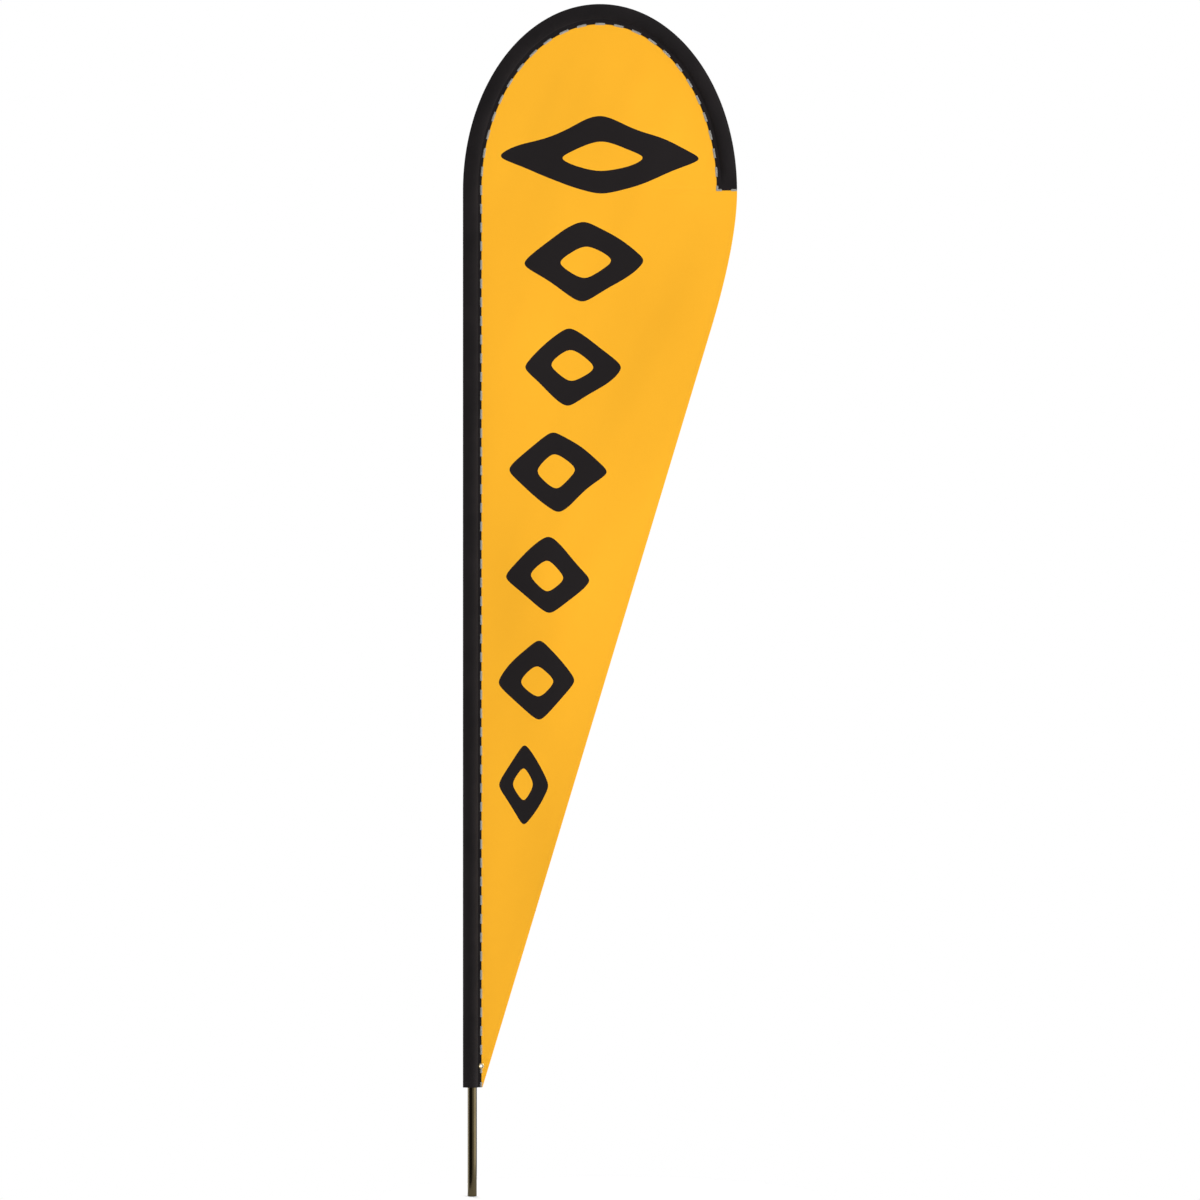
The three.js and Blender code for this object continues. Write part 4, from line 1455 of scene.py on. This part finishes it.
def seam_spot(along, lean, share, out):
    """A point of a bar on the seam, that share of the way from the sleeve to the panel."""
    across = BAR_LEFT + (BAR_RIGHT - BAR_LEFT) * share
    return pole_point(along + lean, across + widening(along), out)


def end_spot(across, lean, share, out):
    """A point of a bar on the sleeve's end, in the same way."""
    down = BAR_LEFT - HALF_SLEEVE + (BAR_RIGHT - BAR_LEFT) * share
    return pole_point(SLEEVE_END + down, across + lean, out)


def zigzag(spot_at, first, last, side):
    """The crossings of one bar, leaning to and fro, with none under the grommet."""
    crossings = []
    for index, at in enumerate(steps_between(first, last, ZIGZAG_STEP)):
        middle = spot_at(at, 0, 0.5, 0)
        if math.hypot(middle.x - GROMMET.x, middle.z - GROMMET.z) <= GROMMET_ROOM:
            continue
        lean = ZIGZAG_STEP * (ZIGZAG_LEAN if index % 2 else -ZIGZAG_LEAN)
        points = [spot_at(at, lean * (2 * share - 1), share, out) for share, out in CROSSING]
        for point in points:
            point.y *= side
            if point.x > HALF_SLEEVE:
                point.y += panel_lift(point.x, point.z)
        crossings.append(points)
    return crossings


print("a bar of", STITCH_LENGTH, "m has", round(STITCH_LENGTH / ZIGZAG_STEP), "crossings")

# %% Sew the seam
BAR_START = 0.001  # how far above the mouth the lowest bar may begin
SEAM_SIDES = (
    (-1, "seam_bars_front", "seam_thread_front"),
    (1, "seam_bars_back", "seam_thread_back"),
)

seam_length = seam_distance(SLEEVE_END)
bar_count = math.ceil((seam_length - FIRST_STITCH) / STITCH_PITCH)
for side, name, node in SEAM_SIDES:
    stitches = []
    for first, last in END_BARS:
        stitches += zigzag(end_spot, first, last, side)
    for bar in range(bar_count):
        first = max(FIRST_STITCH + bar * STITCH_PITCH, MOUTH + BAR_START)
        last = min(FIRST_STITCH + bar * STITCH_PITCH + STITCH_LENGTH, seam_length)
        stitches += zigzag(seam_spot, along_at_seam(first), along_at_seam(last), side)
    add_thread(name, stitches, THREAD_RADIUS, GREY_THREAD, (node,))
print("the seam has", bar_count, "bars, and", len(END_BARS), "across the sleeve's end")

# %% Sew the free edge's hem
HEM_THREAD = 0.00016
HEM_STITCH, STITCH_GAP = 0.0034, 0.0009
HEM_LINE = 0.0098  # how far in from the edge the stitches are
HEM_CLEAR = 0.012  # the ends of the hem that have none


def hem_stitches(side):
    """One row of stitches along the free edge, on the front (-1) or the back (1)."""
    lift = (HEM_BACK + HEM_CLOTH / 2) if side > 0 else -PANEL_CLOTH / 2
    lift += side * HEM_THREAD * 0.5
    rows = []
    for height in steps_between(BOTTOM.y + HEM_CLEAR, TIP.y - HEM_CLEAR, HEM_STITCH)[:-1]:
        ends = (height, height + HEM_STITCH - STITCH_GAP)
        rows.append([on_hem(end, HEM_LINE, lift) for end in ends])
    return rows


hem_thread = add_thread(
    "hem_stitches", hem_stitches(-1) + hem_stitches(1), HEM_THREAD, YELLOW_THREAD
)

# %% Sew the mouth's hem
MOUTH_LINE = MOUTH + MOUTH_HEM - 0.003
MOUTH_PITCH, MOUTH_STITCH = 0.0032, 0.0024
MOUTH_FROM, MOUTH_TO = -HALF_SLEEVE + 0.004, SEAM_ACROSS - 0.002


def mouth_stitches():
    """One row of stitches round the mouth, just under the turned-up hem's edge."""
    rows = []
    for side in (-1, 1):
        rise = side * (SLEEVE_CLOTH / 2 + HEM_THREAD)
        for across in steps_between(MOUTH_FROM, MOUTH_TO, MOUTH_PITCH)[:-1]:
            rows.append([
                pole_point(MOUTH_LINE, end, sleeve_surface(MOUTH_LINE, end, side) + rise)
                for end in (across, across + MOUTH_STITCH)
            ])
    return rows


mouth_thread = add_thread(
    "mouth_stitches", mouth_stitches(), HEM_THREAD, BLACK_THREAD
)

# %% [markdown]
# Both cloths are flat sheets, each with its cut size, how it is held, what it rests on and the
# small pieces that are sewn to it and move with it. Here only their names are printed.

# %% Name the sheets
print("sheets:", sleeve.name, "and", panel.name)

# %% [markdown]
# ## The grommet
# A grommet is two pressed brass pieces. The eyelet has a domed flange on the front and a barrel that
# goes through the cloth, and its end is rolled over a domed washer on the back. Both are spun, here
# about an axis through the cloth.

# %% Helpers for the grommet
GROMMET_STEPS = 64
GROMMET_HOLE = 0.00355
GROMMET_OUTER = (grommet_high.x - grommet_low.x) / 2
CLOTH_FACE = FLAT_HALF + SLEEVE_CLOTH / 2 + 0.0001
GROMMET_SMOOTH = 50  # degrees, as its domes are spun in few steps


def grommet_piece(name, profile, replaced):
    """A round piece about an axis through the cloth, from (radius, height above the front)."""
    bm = spun(profile, GROMMET_STEPS, 0, True)
    for vert in bm.verts:
        x, y, z = vert.co
        vert.co = (GROMMET.x + x, z, GROMMET.z - y)
    bmesh.ops.recalc_face_normals(bm, faces=bm.faces[:])
    piece = add_piece(name, bm, BRASS, "flag", (replaced,))
    keep_edges_crisp(piece, GROMMET_SMOOTH)
    return piece


def dome(inner, outer, base, rise, points=9):
    """The top of a domed flange, from its outer edge in to its inner edge."""
    middle, half = (inner + outer) / 2, (outer - inner) / 2
    steps = [math.pi * i / (points - 1) for i in range(points)]
    return [(middle + half * math.cos(t), base + rise * math.sin(t) ** 0.8) for t in steps]


print("the grommet is", round(2 * GROMMET_OUTER, 4), "m across")

# %% Make the grommet
BARREL_WALL, BARREL_END = 0.0006, 0.0009
RIM = 0.0002  # the height of a flange's edge
EYELET_RISE, WASHER_RISE, ROLL_RISE = 0.0010, 0.0006, 0.0007
ROLL_OUTER, ROLL_BASE = 0.0056, 0.0010  # the barrel's end, rolled over on the back
WASHER_GAP = 0.0002

barrel = GROMMET_HOLE + BARREL_WALL
front_dome = dome(GROMMET_HOLE, GROMMET_OUTER, CLOTH_FACE + RIM, EYELET_RISE)
roll = dome(GROMMET_HOLE, ROLL_OUTER, CLOTH_FACE + ROLL_BASE, ROLL_RISE)
eyelet = [(barrel, CLOTH_FACE + BARREL_END), (barrel, -CLOTH_FACE), (GROMMET_OUTER, -CLOTH_FACE)]
eyelet += [(radius, -height) for radius, height in front_dome]
eyelet += [(GROMMET_HOLE, CLOTH_FACE + ROLL_BASE), *reversed(roll)]
grommet_piece("grommet_eyelet_pressed", eyelet, "grommet_eyelet")

washer = [(barrel + WASHER_GAP, CLOTH_FACE), (GROMMET_OUTER, CLOTH_FACE)]
washer += dome(barrel + WASHER_GAP, GROMMET_OUTER, CLOTH_FACE + RIM, WASHER_RISE)
grommet_piece("grommet_washer_pressed", washer, "grommet_washer")
print("its hole is", round(2 * GROMMET_HOLE, 4), "m across")

# %% [markdown]
# ## The button's spring and the tip's loop
# Both are flat strips bent along a line: a leaf of spring steel behind the button, and a loop of
# webbing in the sleeve's end that the tip pushes into. A grid follows the line, with its corners
# rounded, and Solidify gives it a thickness. The real spring closes up as the button is pressed;
# here it has one shape.

# %% Helpers for bent strips
STRIP_ACROSS, STRIP_ALONG = 0.003, 0.004  # between a strip's points


def rounded(points, radius):
    """The line through those points with its corners rounded and no long gaps."""
    line = [points[0]]
    for before, corner, after in zip(points, points[1:], points[2:]):
        start = corner + (before - corner).normalized() * radius
        end = corner + (after - corner).normalized() * radius
        for share in steps_between(0, 1, 0.2):
            line.append(start.lerp(corner, share).lerp(corner.lerp(end, share), share))
    line.append(points[-1])
    fine = [line[0]]
    for here, there in zip(line, line[1:]):
        gap = (there - here).length
        if gap > 1e-6:
            fine += [here.lerp(there, share) for share in steps_between(0, 1, STRIP_ALONG / gap)[1:]]
    return fine


def strip_piece(name, line, half, place, thickness, finish, node):
    """A strip along that line, as wide as twice half, with its thickness in its mesh."""
    sides = steps_between(-half, half, STRIP_ACROSS)
    travelled = [0.0]
    for here, there in zip(line, line[1:]):
        travelled.append(travelled[-1] + (there - here).length)
    rows = list(range(len(line)))
    bm = grid_piece(
        sides, rows, lambda row, side: place(line[row], side),
        lambda row, side, column: (side, travelled[row]),
    )
    piece = add_piece(name, bm, finish, "flag", (node,))
    thicken(piece, thickness)
    settle(piece)
    keep_edges_crisp(piece, 50)
    print(name, "is a strip", round(travelled[-1], 4), "m long and", round(2 * half, 4), "m wide")
    return piece


# %% Bend the spring
SPRING_THICKNESS = 0.0006
SPRING_BEND = 0.0012
LEG_BELOW_BUTTON = 0.006

spring_low, spring_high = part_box("lock_spring")
front_leg = spring_low.x + SPRING_THICKNESS / 2
back_leg = spring_high.x - SPRING_THICKNESS / 2
spring_foot = spring_low.z + SPRING_THICKNESS / 2
spring_line = rounded([Vector(spot) for spot in (
    (front_leg, spring_high.z), (front_leg, button_height - LEG_BELOW_BUTTON),
    (back_leg - SPRING_BEND, spring_foot), (back_leg, spring_foot), (back_leg, spring_high.z),
)], SPRING_BEND / 2)
spring = strip_piece(
    "lock_spring_bent", spring_line, half_width("lock_spring"),
    lambda spot, side: Vector((spot.x, side, spot.y)),
    SPRING_THICKNESS, STEEL, "lock_spring",
)
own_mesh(spring)

# %% Make the webbing loop
WEBBING = 0.0008  # how thick it is
WEBBING_HALF = 0.009
WEBBING_LENGTH = 0.056
WEBBING_BEND = 0.0015


def webbing_finish():
    """Coarse black webbing."""
    material, tree, shader = new_finish("black_webbing", (0.02, 0.02, 0.02), 0.85)
    knit = place_group(tree, KNIT, cloth_place(tree), Pitch=0.0016)
    cloud = place_group(tree, CLOUD, object_place(tree), Scale=60.0)
    vary_colour(tree, shader, cloud.outputs["Cloud"], (0.014, 0.014, 0.014), (0.026, 0.026, 0.026))
    add_bump(tree, shader, knit.outputs["Height"], 0.0003, 0.8)
    return material


cap_top = TIP_END + CAP_END
loop_side = CAP_OUTER + FIT + WEBBING / 2
loop_top = cap_top + FIT + WEBBING / 2
loop_foot = cap_top - WEBBING_LENGTH
loop_line = rounded([Vector(spot) for spot in (
    (-loop_side, loop_foot), (-loop_side, loop_top), (loop_side, loop_top), (loop_side, loop_foot),
)], WEBBING_BEND)
strip_piece(
    "tip_pocket_webbing", loop_line, WEBBING_HALF,
    lambda spot, side: pole_point(spot.y, side, spot.x),
    WEBBING, webbing_finish(), "tip_pocket",
)

# %% [markdown]
# ## The floor
# A pale disc under the pole takes a soft shadow and is not part of the flag.

# %% Make the floor
FLOOR_RADIUS = 0.6
FLOOR_GAP = 0.001  # between the floor and the pole's end


def floor_finish():
    """An even, pale, dull surface."""
    material, tree, shader = new_finish(
        "pale_floor", (0.93, 0.93, 0.93), 0.9, Specular_IOR_Level=0.1
    )
    cloud = place_group(tree, CLOUD, object_place(tree), Scale=1.5)
    vary_colour(tree, shader, cloud.outputs["Cloud"], (0.925, 0.925, 0.925), (0.94, 0.94, 0.94))
    return material


bm = bmesh.new()
bmesh.ops.create_circle(bm, cap_ends=True, segments=128, radius=FLOOR_RADIUS)
floor = link_mesh("floor", bm)
floor.location = (centre.x, 0, cad_low.z - FLOOR_GAP)
floor.data.materials.append(floor_finish())
floor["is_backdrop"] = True
print("the floor is", 2 * FLOOR_RADIUS, "m across")

# %% [markdown]
# ## The size
# The made flag's box is printed. The made flag has to stay in the frame's box, apart from the
# little that cloth may stand proud.

# %% Print the size
low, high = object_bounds()
print("visual box", [round(v, 4) for v in low], [round(v, 4) for v in high])
